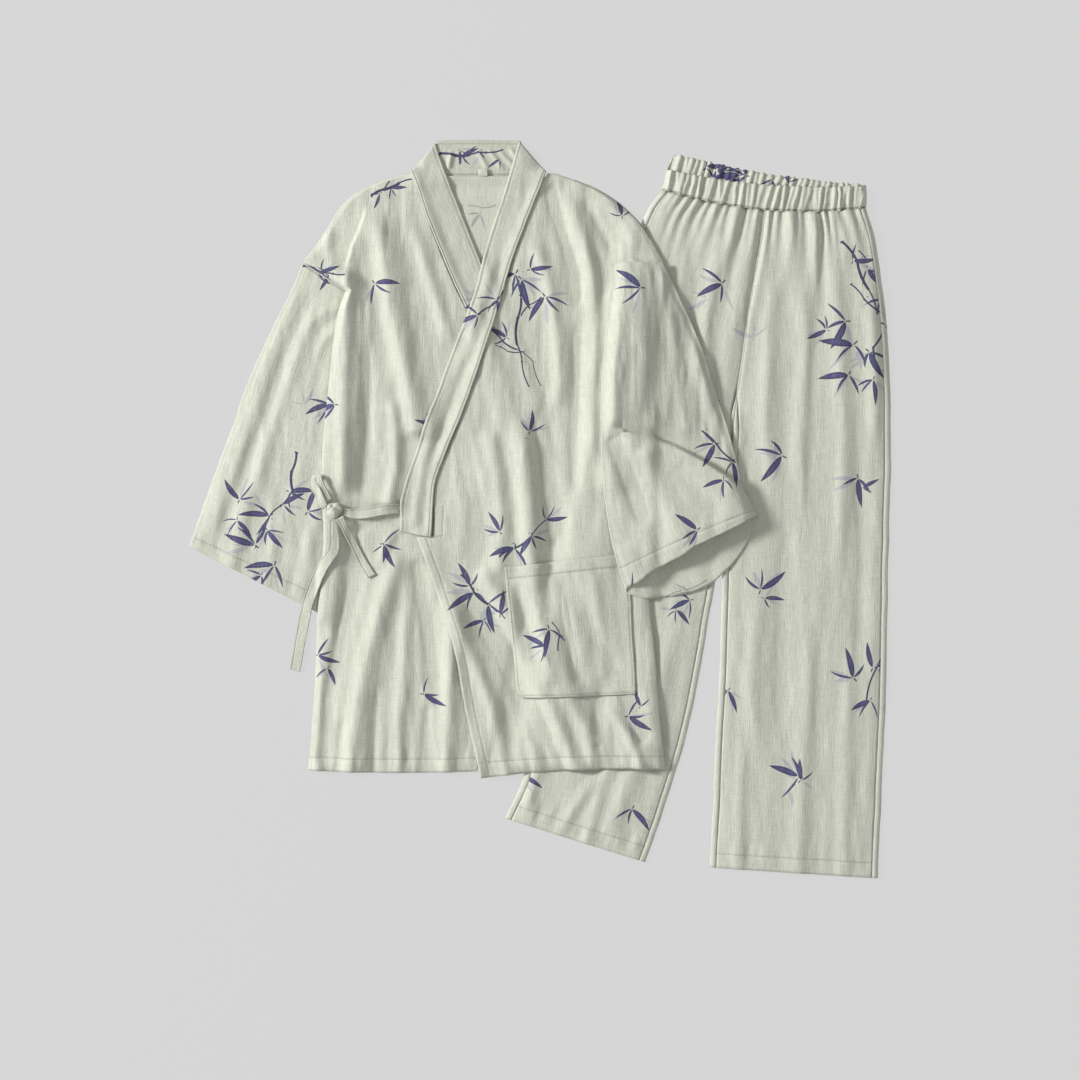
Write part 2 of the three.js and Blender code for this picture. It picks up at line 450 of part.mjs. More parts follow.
function lay(g, over, clear = LIFT) {
  const under = supportOf(over);
  for (let pass = 0; pass < 80; pass++) {
    let worst = 0;
    eachTriangle(g, (a, b, c) => {
      let need = 0,
        at = null;
      cellsIn(a, b, c, (cell, x, y, w) => {
        if (under[cell] <= 0) return;
        const d = under[cell] + clear - (a.z * w[0] + b.z * w[1] + c.z * w[2]);
        if (d > need) {
          need = d;
          at = w;
        }
      });
      if (!at) return;
      worst = Math.max(worst, need);
      const w = at.map(clamp01),
        sq = w[0] * w[0] + w[1] * w[1] + w[2] * w[2];
      [a, b, c].forEach((p, k) => (p.z += (need * w[k]) / sq));
    });
    if (worst < 0.01) break;
  }
  return g;
}

// Soft ridges, faded out at both ends and at the rim of the piece.
function fold(g, table) {
  g.forEach((row, j) =>
    row.forEach((p, i) => {
      const rim = Math.min(1, (2.2 * Math.min(i, row.length - 1 - i)) / 3) * (j === 0 ? 0.4 : 1);
      for (const f of table) {
        const dx = f.x1 - f.x0,
          dy = f.y1 - f.y0,
          t = ((p.x - f.x0) * dx + (p.y - f.y0) * dy) / (dx * dx + dy * dy),
          c = clamp01(t),
          d = Math.hypot(p.x - f.x0 - dx * c, p.y - f.y0 - dy * c);
        p.z += rim * f.h * Math.exp(-((d / f.w) ** 2));
      }
    }),
  );
  return g;
}

// ---- grids to closed walls --------------------------------------------------
function closedMesh(name, points, faces, colour) {
  const position = new Float32Array(points.length * 3);
  points.forEach((p, k) => position.set([p.x, p.y, p.z], k * 3));
  let volume = 0;
  for (const [a, b, c] of faces) {
    const p = points[a],
      q = points[b],
      r = points[c];
    volume += p.x * (q.y * r.z - q.z * r.y) - p.y * (q.x * r.z - q.z * r.x) + p.z * (q.x * r.y - q.y * r.x);
  }
  const index = faces.flatMap(([a, b, c]) => (volume < 0 ? [a, c, b] : [a, b, c]));
  const geometry = new THREE.BufferGeometry();
  geometry.setAttribute("position", new THREE.BufferAttribute(position, 3));
  geometry.setIndex(index);
  geometry.computeVertexNormals();
  const mesh = new THREE.Mesh(
    geometry,
    new THREE.MeshStandardMaterial({ color: colour, roughness: 0.92, metalness: 0 }),
  );
  mesh.name = name;
  return mesh;
}

// A flat wall: lower surface on the grid, upper surface one cloth above.
function wall(name, g, colour, thick = CLOTH) {
  const R = g.length,
    C = g[0].length,
    points = [],
    faces = [];
  for (const row of g) for (const p of row) points.push({ x: p.x, y: p.y, z: p.z });
  for (const row of g) for (const p of row) points.push({ x: p.x, y: p.y, z: p.z + thick });
  const id = (j, i, up) => up * R * C + j * C + i;
  for (let j = 0; j + 1 < R; j++)
    for (let i = 0; i + 1 < C; i++) {
      faces.push([id(j, i, 1), id(j + 1, i, 1), id(j + 1, i + 1, 1)], [id(j, i, 1), id(j + 1, i + 1, 1), id(j, i + 1, 1)]);
      faces.push([id(j, i, 0), id(j + 1, i + 1, 0), id(j + 1, i, 0)], [id(j, i, 0), id(j, i + 1, 0), id(j + 1, i + 1, 0)]);
    }
  const rim = [];
  for (let i = 0; i < C - 1; i++) rim.push([0, i]);
  for (let j = 0; j < R - 1; j++) rim.push([j, C - 1]);
  for (let i = C - 1; i > 0; i--) rim.push([R - 1, i]);
  for (let j = R - 1; j > 0; j--) rim.push([j, 0]);
  rim.forEach(([j, i], k) => {
    const [n, m] = rim[(k + 1) % rim.length];
    faces.push([id(j, i, 0), id(j, i, 1), id(n, m, 1)], [id(j, i, 0), id(n, m, 1), id(n, m, 0)]);
  });
  return closedMesh(name, points, faces, colour);
}

// A tube pressed flat: a lower and an upper layer joined at both side folds,
// open at both ends.
function tube(name, low, high, colour) {
  const inset = (row, i) => {
    const p = row[i];
    if (i > 0 && i < row.length - 1) return p;
    const q = row[i === 0 ? 1 : i - 1],
      len = Math.hypot(q.x - p.x, q.y - p.y);
    return { x: p.x + ((q.x - p.x) * CLOTH) / len, y: p.y + ((q.y - p.y) * CLOTH) / len, z: p.z };
  };
  const rings = low.map((lo, j) => {
    const hi = high[j],
      outer = [],
      inner = [];
    for (let i = 0; i < lo.length; i++) {
      outer.push({ ...lo[i] });
      const q = inset(lo, i);
      inner.push({ x: q.x, y: q.y, z: q.z + CLOTH });
    }
    for (let i = hi.length - 1; i >= 0; i--) {
      outer.push({ x: hi[i].x, y: hi[i].y, z: hi[i].z + CLOTH });
      const q = inset(hi, i);
      inner.push({ x: q.x, y: q.y, z: q.z });
    }
    return { outer, inner };
  });
  const K = rings[0].outer.length,
    points = rings.flatMap((r) => [...r.outer, ...r.inner]),
    id = (j, k, inner) => j * 2 * K + (inner ? K : 0) + (k % K),
    faces = [];
  for (let j = 0; j + 1 < rings.length; j++)
    for (let k = 0; k < K; k++) {
      faces.push([id(j, k, 0), id(j + 1, k, 0), id(j + 1, k + 1, 0)], [id(j, k, 0), id(j + 1, k + 1, 0), id(j, k + 1, 0)]);
      faces.push([id(j, k, 1), id(j + 1, k + 1, 1), id(j + 1, k, 1)], [id(j, k, 1), id(j, k + 1, 1), id(j + 1, k + 1, 1)]);
    }
  const last = rings.length - 1;
  for (let k = 0; k < K; k++) {
    faces.push([id(0, k, 0), id(0, k + 1, 0), id(0, k + 1, 1)], [id(0, k, 0), id(0, k + 1, 1), id(0, k, 1)]);
    faces.push([id(last, k, 0), id(last, k + 1, 1), id(last, k + 1, 0)], [id(last, k, 0), id(last, k, 1), id(last, k + 1, 1)]);
  }
  return closedMesh(name, points, faces, colour);
}

// ---- the pieces, laid from the surface up -----------------------------------
const group = new THREE.Group();
function panel(name, { over = [], step = 45, columns = 8, colour = COLOUR.jacket, top, rows, shape, clear } = {}) {
  const g = lay(grid(rows || SECTIONS[name], { step, columns, top }), over, clear);
  fold(g, FOLDS[name] || []);
  if (shape) g.forEach((row) => row.forEach(shape));
  recordTop(name, g, CLOTH);
  group.add(wall(name, g, colour));
  return g;
}

// waistband: its lower edge is the seam that the four leg panels hang from
const band = SECTIONS.waistband_front[SECTIONS.waistband_front.length - 1];
const waistSeam = (x) => {
  const u = clamp01((x - band.lx) / (band.rx - band.lx));
  return lerp(band.ly, band.ry, u) - band.bow * 4 * u * (1 - u);
};
{
  const opts = { columns: 34, divide: [1, 1] };
  const low = grid(SECTIONS.waistband_back, opts);
  recordTop("waistband", low, CLOTH);
  const high = lay(grid(SECTIONS.waistband_front, opts), ["waistband"], 1);
  const gather = (p, i) => (p.z += i % 2 === 0 && i > 0 && i < opts.columns ? 2.2 : 0);
  high.forEach((row) => row.forEach(gather));
  group.add(tube("waistband", low, high, COLOUR.trousers));
}

const legs = { step: 62, columns: 9, colour: COLOUR.trousers, top: waistSeam };
const belowCrotch = (x, y) => y < 130;
panel("trouser_back_right", legs);
panel("trouser_front_right", { ...legs, over: ["trouser_back_right"] });
const rightLeg = [
  ["trouser_back_right", belowCrotch],
  ["trouser_front_right", belowCrotch],
];
const leftRows = sewnCentre(SECTIONS.trouser_back_left, SECTIONS.trouser_back_right);
panel("trouser_back_left", { ...legs, rows: leftRows, over: rightLeg });
panel("trouser_front_left", { ...legs, rows: leftRows, over: ["trouser_back_left", ...rightLeg] });

// The left panels start one seam gap from the right ones down to the crotch.
function sewnCentre(rows, other) {
  return rows.map((row) => (row.ly > 140 ? { ...row, lx: edgeX(other, "r", row.ly) + SEAM } : row));
}

// right sleeve, on the surface
{
  const opts = { step: 45, columns: 8 };
  const low = grid(SECTIONS.sleeve_right, opts);
  recordTop("sleeve_right", low, CLOTH);
  const high = lay(grid(SECTIONS.sleeve_right, opts), ["sleeve_right"], 0.9);
  high.forEach((row) => row.forEach((p, i) => (p.z += i > 0 && i < opts.columns ? 1.2 : 0)));
  fold(high, FOLDS.sleeve_right);
  recordTop("sleeve_right", high, CLOTH);
  group.add(tube("sleeve_right", low, high, COLOUR.jacket));
}

// jacket body
const armhole = SECTIONS.sleeve_right[0];
const belowArmhole = (x, y) => {
  const dx = armhole.rx - armhole.lx,
    dy = armhole.ry - armhole.ly;
  return (dx * (y - armhole.ly) - dy * (x - armhole.lx)) / Math.hypot(dx, dy) < -6;
};
const trousers = ["trouser_back_right", "trouser_front_right", "trouser_back_left", "trouser_front_left"];
const armSleeve = ["sleeve_right", belowArmhole];
panel("collar_back", { step: 16, columns: 8, colour: COLOUR.collar });
panel("jacket_back", { columns: 18, over: [armSleeve, ...trousers] });
panel("neck_tab", { step: 20, columns: 1, over: ["jacket_back", "collar_back"], colour: COLOUR.collar });

const underSeam = SECTIONS.collar_right,
  overSeam = SECTIONS.collar_left;
panel("front_right", {
  columns: 11,
  rows: sewn(SECTIONS.front_right, "r", underSeam, "l", -SEAM),
  over: ["jacket_back", armSleeve, ...trousers],
});
panel("collar_right", {
  step: 40,
  columns: 2,
  colour: COLOUR.collar,
  over: ["jacket_back", "collar_back", "neck_tab"],
});
const underFront = ["jacket_back", "front_right", "collar_right", "collar_back", "neck_tab", ...trousers];
const shoulderY = SECTIONS.front_left[5].ry; // armhole seam of the left sleeve
panel("front_left", {
  columns: 12,
  rows: sewn(SECTIONS.front_left, "l", overSeam, "r", SEAM),
  over: underFront,
  shape: (p) => {
    const above = p.y - shoulderY;
    if (above > -1 && p.x > 40)
      p.z += SHOULDER_RISE * clamp01((p.x - 40) / 50) * clamp01(1 - above / 95);
  },
});
panel("collar_left", { step: 40, columns: 2, colour: COLOUR.collar, over: underFront });
panel("pocket", { step: 45, columns: 7, over: ["front_left"] });

// left sleeve: over the front, its lower third folded back over the upper part
// in a tuck, with the cuff standing open
{
  const opts = { columns: 8, divide: [1, 2, 1, 1, 1, 1, 1, 1, 1, 1] };
  const under = ["front_left", "pocket", "jacket_back", ...trousers];
  const low = lay(grid(SECTIONS.sleeve_left_bottom, opts), under);
  recordTop("sleeve_left", low, CLOTH);
  const high = lay(grid(SECTIONS.sleeve_left_top, opts), ["sleeve_left"], 0.9);
  fold(high, FOLDS.sleeve_left);
  const tuck = { x0: 111, y0: 97, x1: 283, y1: -10 };
  const rows = high.length - 1;
  high.forEach((row, j) =>
    row.forEach((p, i) => {
      const u = i / opts.columns,
        across = 4 * u * (1 - u),
        dx = tuck.x1 - tuck.x0,
        dy = tuck.y1 - tuck.y0,
        side = (dx * (p.y - tuck.y0) - dy * (p.x - tuck.x0)) / Math.hypot(dx, dy);
      p.z += 1.2 * across;
      if (side < 0) p.z += TUCK_STEP * Math.min(1, 3 * across) * clamp01(-side / 12);
      if (p.y < 20) p.z += CUFF_ARCH * Math.sqrt(across) * clamp01((j / rows - 0.55) / 0.45);
    }),
  );
  recordTop("sleeve_left", high, CLOTH);
  group.add(tube("sleeve_left", low, high, COLOUR.jacket));
}

// tie: strap from the collar, knot, half bow and two tails
const underTie = ["front_right", "sleeve_right", "jacket_back"];
const strap = { step: 14, columns: 1, colour: COLOUR.tie, over: underTie, clear: 1 };
panel("tie_strap", strap);
panel("tie_loop", { ...strap, step: 30 });
panel("tie_tail_short", strap);
panel("tie_tail_long", strap);
{
  const foot = supportOf(underTie),
    at = cellAt(KNOT.y) * SIDE + cellAt(KNOT.x);
  let high = 0;
  for (let j = -6; j <= 6; j++) for (let i = -6; i <= 6; i++) high = Math.max(high, foot[at + j * SIDE + i]);
  const ball = new THREE.SphereGeometry(1, 16, 10);
  ball.scale(KNOT.rx, KNOT.rz, KNOT.ry);
  ball.rotateX(Math.PI / 2);
  const knot = new THREE.Mesh(
    ball,
    new THREE.MeshStandardMaterial({ color: COLOUR.tie, roughness: 0.92, metalness: 0 }),
  );
  knot.name = "tie_knot";
  knot.position.set(KNOT.x, KNOT.y, high + KNOT.rz + LIFT);
  group.add(knot);
}

export default group;
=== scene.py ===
# Jinbei set laid flat: the looks of each piece of cloth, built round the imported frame.
import math

import bpy
import numpy as np
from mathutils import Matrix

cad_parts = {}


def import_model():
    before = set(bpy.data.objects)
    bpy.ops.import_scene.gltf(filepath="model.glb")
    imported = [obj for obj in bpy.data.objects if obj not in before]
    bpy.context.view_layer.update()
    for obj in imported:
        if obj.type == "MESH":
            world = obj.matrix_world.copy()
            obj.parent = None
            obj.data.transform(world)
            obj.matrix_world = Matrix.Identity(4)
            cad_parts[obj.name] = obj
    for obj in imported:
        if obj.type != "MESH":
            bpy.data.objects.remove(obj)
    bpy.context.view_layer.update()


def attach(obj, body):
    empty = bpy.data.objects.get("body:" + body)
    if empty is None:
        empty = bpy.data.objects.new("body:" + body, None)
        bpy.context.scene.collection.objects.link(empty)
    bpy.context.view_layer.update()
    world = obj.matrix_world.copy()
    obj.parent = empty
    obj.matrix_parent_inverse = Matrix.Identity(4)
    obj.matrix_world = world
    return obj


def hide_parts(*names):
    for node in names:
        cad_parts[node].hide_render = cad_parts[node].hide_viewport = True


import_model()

# ---------------------------------------------------------------- sizes (mm)
CLOTH = 0.9  # visible wall of one layer
LIFT = 0.7  # clear height between layers
CELL = 2.0  # pitch of the height grid
GX, GY = 500, 520  # cells across and along
OX, OY = -500.0, -520.0

# Sections of each piece: left end, right end, and bow of the middle
SECTIONS = {
    "trouser_back_left": [
        (292.1, 385.3, 423.4, 389.2, 0.0),
        (286.9, 354.1, 433.8, 354.1, 0.0),
        (278.5, 303.4, 442.9, 303.4, 0.0),
        (269.4, 251.4, 449.4, 251.4, 0.0),
        (264.8, 213.7, 452.0, 213.7, 0.0),
        (256.4, 148.7, 455.3, 148.7, 0.0),
        (249.2, 90.2, 455.9, 90.2, 0.0),
        (242.7, -0.8, 454.0, -0.8, 0.0),
        (236.6, -87.9, 452.0, -87.9, 0.0),
        (233.6, -189.3, 450.3, -195.8, 0.0),
        (228.4, -290.7, 446.8, -299.8, 0.0),
        (224.5, -381.7, 442.5, -390.8, 0.0),
        (219.8, -464.9, 438.6, -479.2, 0.0),
    ],
    "trouser_front_left": [
        (292.1, 385.3, 423.4, 389.2, 0.0),
        (286.9, 354.1, 433.8, 354.1, 0.0),
        (278.5, 303.4, 442.9, 303.4, 0.0),
        (269.4, 251.4, 449.4, 251.4, 0.0),
        (264.8, 213.7, 452.0, 213.7, 0.0),
        (256.4, 148.7, 455.3, 148.7, 0.0),
        (249.2, 90.2, 455.9, 90.2, 0.0),
        (242.7, -0.8, 454.0, -0.8, 0.0),
        (236.6, -87.9, 452.0, -87.9, 0.0),
        (233.6, -189.3, 450.3, -195.8, 0.0),
        (228.4, -290.7, 446.8, -299.8, 0.0),
        (224.5, -381.7, 442.5, -390.8, 0.0),
        (219.8, -464.9, 438.6, -479.2, 0.0),
    ],
    "trouser_back_right": [
        (158.2, 414.6, 290.8, 386.0, 0.0),
        (140.0, 391.8, 286.0, 354.1, 0.0),
        (121.8, 343.7, 277.6, 303.4, 0.0),
        (106.2, 278.7, 268.4, 251.4, 0.0),
        (95.8, 226.7, 263.9, 213.7, 0.0),
        (80.2, 148.7, 255.5, 148.7, 0.0),
        (64.6, 70.7, 255.7, 70.7, 0.0),
        (47.7, -20.3, 245.3, -24.2, 0.0),
        (33.4, -87.9, 227.8, -91.8, 0.0),
        (16.5, -169.8, 212.2, -182.8, 0.0),
        (-0.4, -247.8, 194.6, -273.8, 0.0),
        (-21.2, -345.3, 156.9, -401.2, 0.0),
        (-45.9, -401.2, 136.1, -458.4, 0.0),
    ],
    "trouser_front_right": [
        (158.2, 414.6, 290.8, 386.0, 0.0),
        (140.0, 391.8, 286.0, 354.1, 0.0),
        (121.8, 343.7, 277.6, 303.4, 0.0),
        (106.2, 278.7, 268.4, 251.4, 0.0),
        (95.8, 226.7, 263.9, 213.7, 0.0),
        (80.2, 148.7, 255.5, 148.7, 0.0),
        (64.6, 70.7, 255.7, 70.7, 0.0),
        (47.7, -20.3, 245.3, -24.2, 0.0),
        (33.4, -87.9, 227.8, -91.8, 0.0),
        (16.5, -169.8, 212.2, -182.8, 0.0),
        (-0.4, -247.8, 194.6, -273.8, 0.0),
        (-21.2, -345.3, 156.9, -401.2, 0.0),
        (-45.9, -401.2, 136.1, -458.4, 0.0),
    ],
    "jacket_back": [
        (-179.8, 432.1, 20.4, 432.1, 0.0),
        (-225.3, 417.2, 64.6, 417.8, 0.0),
        (-254.5, 397.7, 101.0, 397.7, 0.0),
        (-274.7, 368.4, 130.9, 368.4, 0.0),
        (-296.8, 334.6, 150.4, 337.2, 0.0),
        (-307.2, 320.3, 158.2, 321.6, 0.0),
        (-252.6, 283.5, 155.6, 274.8, 0.0),
        (-261.7, 256.6, 151.7, 252.7, 0.0),
        (-268.2, 217.6, 147.8, 217.6, 0.0),
        (-275.3, 152.6, 143.3, 152.6, 0.0),
        (-279.4, 117.5, 141.3, 117.5, 0.0),
        (-282.5, 68.1, 140.0, 68.1, 0.0),
        (-282.9, 30.4, 139.4, 30.4, 0.0),
        (-281.2, -39.8, 140.0, -39.8, 0.0),
        (-285.7, -100.9, 141.3, -100.9, 0.0),
        (-289.8, -156.8, 145.2, -156.8, 0.0),
        (-292.9, -230.9, 151.7, -230.9, 0.0),
        (-300.9, -332.3, 160.8, -331.0, 0.0),
    ],
    "front_right": [
        (-177.8, 435.4, -167.0, 436.7, 0.0),
        (-225.3, 418.7, -160.0, 417.8, 0.0),
        (-254.5, 399.0, -153.5, 397.0, 0.0),
        (-274.7, 369.1, -143.4, 368.4, 0.0),
        (-296.8, 334.6, -129.7, 334.6, 0.0),
        (-307.8, 320.3, -123.2, 317.7, 0.0),
        (-252.6, 283.5, -108.3, 283.5, 0.0),
        (-261.7, 256.6, -95.3, 257.9, 0.0),
        (-268.2, 217.6, -79.7, 217.6, 0.0),
        (-275.3, 152.6, -57.6, 152.6, 0.0),
        (-279.4, 117.5, -45.9, 117.5, 0.0),
        (-282.5, 68.1, -30.3, 68.1, 0.0),
        (-283.1, 30.4, -21.2, 30.4, 0.0),
        (-281.2, -32.0, -17.3, -32.0, 0.0),
        (-281.8, -55.4, -3.0, -55.4, 0.0),
        (-285.1, -91.8, -19.9, -91.8, 0.0),
        (-289.8, -156.8, -42.0, -156.8, 0.0),
        (-292.9, -230.9, -57.6, -230.9, 0.0),
        (-302.0, -338.8, -82.3, -340.1, 2.6),
    ],
    "front_left": [
        (8.2, 436.0, 20.4, 436.0, 0.0),
        (1.3, 419.1, 67.2, 419.1, 0.0),
        (-8.2, 397.0, 103.6, 397.0, 0.0),
        (-19.9, 365.8, 133.5, 365.8, 0.0),
        (-30.9, 337.2, 150.4, 337.2, 0.0),
        (-36.8, 320.3, 159.5, 321.0, 0.0),
        (-42.0, 303.4, 157.6, 304.7, 0.0),
        (-50.6, 274.8, 154.3, 272.2, 0.0),
        (-65.4, 225.4, 148.5, 225.4, 0.0),
        (-82.9, 173.4, 144.6, 173.4, 0.0),
        (-94.0, 142.2, 143.0, 142.2, 0.0),
        (-106.5, 109.7, 141.3, 109.7, 0.0),
        (-123.9, 68.1, 140.0, 68.1, 0.0),
        (-136.2, 30.4, 139.4, 30.4, 0.0),
        (-138.7, -34.6, 140.0, -30.7, 0.0),
        (-160.3, -36.5, 140.3, -50.2, 0.0),
        (-148.6, -67.1, 140.8, -72.3, 0.0),
        (-133.8, -111.3, 142.0, -117.8, 0.0),
        (-108.9, -193.2, 149.1, -189.3, 0.0),
        (-99.2, -247.8, 153.7, -247.8, 0.0),
        (-77.1, -349.2, 162.6, -337.5, -5.2),
    ],
    "collar_back": [
        (-134.3, 478.9, -25.7, 478.9, -0.8),
        (-142.1, 459.4, -18.6, 459.4, 0.0),
        (-151.2, 432.9, -8.2, 432.9, 0.0),
    ],
    "collar_right": [
        (-168.3, 438.2, -136.1, 475.0, 0.0),
        (-160.0, 417.8, -129.1, 452.9, 0.0),
        (-149.9, 386.6, -116.7, 421.7, 0.0),
        (-132.6, 342.4, -99.2, 377.5, 0.0),
        (-112.7, 294.8, -79.7, 328.1, 0.0),
        (-95.3, 257.9, -62.8, 285.2, 0.0),
        (-79.7, 217.6, -43.3, 239.7, 0.0),
        (-57.6, 152.6, -21.2, 170.8, 0.0),
        (-45.9, 117.5, -8.2, 131.8, 0.0),
        (-30.3, 68.1, 8.7, 74.6, 0.0),
        (-21.2, 30.4, 20.4, 33.0, 0.0),
        (-17.3, -32.0, 25.6, -28.1, 0.0),
    ],
    "collar_left": [
        (-27.8, 478.3, 7.7, 437.8, 0.0),
        (-36.8, 447.7, 0.9, 419.1, 0.0),
        (-48.5, 408.7, -8.2, 397.0, 0.0),
        (-62.8, 364.5, -23.3, 356.7, 0.0),
        (-72.5, 332.0, -35.5, 324.2, 0.0),
        (-85.4, 283.9, -50.6, 274.8, 0.0),
        (-101.8, 237.1, -65.4, 225.4, 0.0),
        (-118.7, 194.2, -82.9, 173.4, 0.0),
        (-133.0, 153.9, -94.0, 142.2, 0.0),
        (-144.0, 126.6, -106.5, 109.7, 0.0),
        (-160.3, 78.5, -123.9, 68.1, 0.0),
        (-175.2, 33.0, -136.2, 30.4, 0.0),
        (-181.7, 3.1, -139.0, 1.8, 0.0),
        (-182.4, -26.8, -140.0, -32.6, 0.0),
    ],
    "neck_tab": [
        (-80.3, 441.9, -68.0, 441.5, 0.0),
        (-80.3, 432.4, -68.0, 432.1, 0.0),
    ],
    "pocket": [
        (-46.7, -75.5, 112.1, -57.3, 0.0),
        (-43.9, -100.9, 115.3, -84.0, 0.0),
        (-40.7, -137.3, 117.9, -124.3, 0.0),
        (-36.1, -176.3, 120.2, -169.8, 0.0),
        (-32.9, -208.8, 122.6, -206.2, 0.0),
        (-30.6, -232.2, 123.5, -229.6, 0.0),
        (-23.1, -245.2, 123.6, -239.6, 0.0),
    ],
    "sleeve_right": [
        (-308.6, 319.0, -226.6, 265.7, 0.0),
        (-329.3, 272.2, -231.8, 226.7, 0.0),
        (-356.6, 217.6, -238.3, 174.7, 0.0),
        (-378.7, 168.2, -244.8, 122.7, 0.0),
        (-397.5, 113.6, -252.6, 64.2, 0.0),
        (-419.0, 57.7, -261.7, 5.7, 0.0),
        (-441.1, -4.7, -274.7, -65.8, 0.0),
        (-455.9, -48.2, -287.7, -134.7, 0.0),
    ],
    "sleeve_left_bottom": [
        (97.1, 319.0, 158.2, 319.0, 0.0),
        (89.3, 272.2, 181.6, 272.2, 0.0),
        (82.8, 213.7, 206.3, 216.3, 0.0),
        (78.9, 161.7, 224.5, 161.7, 0.0),
        (77.6, 114.9, 240.1, 114.9, 0.0),
        (78.3, 77.2, 250.5, 79.8, 0.0),
        (80.2, 38.2, 257.0, 51.2, 2.6),
        (85.4, -3.4, 263.5, 29.1, 7.8),
        (91.9, -39.8, 271.3, 13.5, 16.9),
        (99.7, -74.9, 277.8, 0.5, 31.2),
        (111.4, -110.0, 282.4, -11.2, 42.9),
    ],
    "sleeve_left_top": [
        (97.1, 319.0, 158.2, 319.0, 0.0),
        (89.3, 272.2, 181.6, 272.2, 0.0),
        (82.8, 213.7, 206.3, 216.3, 0.0),
        (78.9, 161.7, 224.5, 161.7, 0.0),
        (77.6, 114.9, 240.1, 114.9, 0.0),
        (78.3, 77.2, 250.5, 79.8, 0.0),
        (80.2, 38.2, 257.0, 51.2, 0.0),
        (85.4, -3.4, 263.5, 29.1, 0.0),
        (91.9, -39.8, 271.3, 13.5, -1.3),
        (99.7, -74.9, 277.8, 0.5, -2.6),
        (110.1, -103.5, 281.1, -7.9, -3.9),
    ],
    "waistband_back": [
        (174.1, 461.4, 423.4, 421.1, 5.9),
        (167.3, 439.9, 424.1, 406.8, 10.4),
        (158.2, 415.7, 423.4, 391.8, 15.0),
    ],
    "waistband_front": [
        (163.4, 441.2, 423.4, 419.8, 9.1),
        (160.8, 428.2, 424.1, 406.1, 12.3),
        (158.2, 415.7, 423.4, 391.8, 15.0),
    ],
    "tie_strap": [
        (-182.9, 7.0, -182.9, -5.3, 0.0),
        (-204.5, 5.1, -203.2, -7.5, 0.0),
        (-230.5, 0.5, -229.8, -12.1, 0.0),
        (-247.4, 0.5, -246.7, -10.9, 0.0),
        (-255.2, 1.8, -255.2, -7.3, 0.0),
    ],
    "tie_loop": [
        (-281.2, -0.8, -275.2, 5.7, 0.0),
        (-292.2, 18.7, -283.1, 23.9, 0.0),
        (-299.4, 34.3, -290.0, 37.6, 0.0),
        (-298.1, 42.8, -290.3, 40.6, 0.0),
        (-291.6, 47.8, -289.2, 41.6, 0.0),
        (-283.8, 44.7, -287.4, 40.3, 0.0),
        (-280.5, 34.3, -284.4, 32.4, 0.0),
        (-275.3, 23.3, -279.1, 21.1, 0.0),
        (-270.8, 12.7, -274.7, 10.7, 0.0),
    ],
    "tie_tail_short": [
        (-263.6, -13.3, -255.2, -8.6, 0.0),
        (-250.0, -39.8, -241.5, -35.9, 0.0),
        (-234.4, -70.3, -225.0, -66.4, 0.0),
        (-224.0, -89.2, -214.2, -84.6, 0.0),
    ],
    "tie_tail_long": [
        (-272.7, -14.4, -263.0, -16.8, 0.0),
        (-272.1, -43.7, -259.7, -48.9, 0.0),
        (-290.3, -73.6, -277.3, -80.1, 0.0),
        (-303.3, -104.8, -290.3, -110.0, 0.0),
        (-313.7, -143.1, -300.0, -147.0, 0.0),
        (-325.4, -207.5, -312.1, -211.4, 0.0),
    ],
}


# ---------------------------------------------------------------- small maths
def pchip(s, y, q):
    """Monotone cubic through (s, y), evaluated at q."""
    s, y, q = np.asarray(s, float), np.asarray(y, float), np.asarray(q, float)
    if len(s) == 2:
        return y[0] + (y[1] - y[0]) * (q - s[0]) / (s[1] - s[0])
    h = np.diff(s)
    m = np.diff(y) / h
    d = np.zeros(len(s))
    for k in range(1, len(s) - 1):
        if m[k - 1] * m[k] > 0:
            w1, w2 = 2 * h[k] + h[k - 1], h[k] + 2 * h[k - 1]
            d[k] = (w1 + w2) / (w1 / m[k - 1] + w2 / m[k])
    d[0], d[-1] = m[0], m[-1]
    k = np.clip(np.searchsorted(s, q, side="right") - 1, 0, len(s) - 2)
    t = (q - s[k]) / h[k]
    return (
        (2 * t**3 - 3 * t**2 + 1) * y[k]
        + (t**3 - 2 * t**2 + t) * h[k] * d[k]
        + (-2 * t**3 + 3 * t**2) * y[k + 1]
        + (t**3 - t**2) * h[k] * d[k + 1]
    )


def smooth(t):
    t = np.clip(t, 0, 1)
    return t * t * (3 - 2 * t)


def noise(x, y, seed):
    """Value noise in -1..1 with unit cells."""
    table = np.random.default_rng(seed).uniform(-1, 1, (64, 64))
    xi, yi = np.floor(x).astype(int), np.floor(y).astype(int)
    fx, fy = x - xi, y - yi
    fx, fy = fx**3 * (fx * (fx * 6 - 15) + 10), fy**3 * (fy * (fy * 6 - 15) + 10)
    a, b = table[xi % 64, yi % 64], table[(xi + 1) % 64, yi % 64]
    c, d = table[xi % 64, (yi + 1) % 64], table[(xi + 1) % 64, (yi + 1) % 64]
    return (a * (1 - fx) + b * fx) * (1 - fy) + (c * (1 - fx) + d * fx) * fy


# ---------------------------------------------------------------- height grid
tops = {}


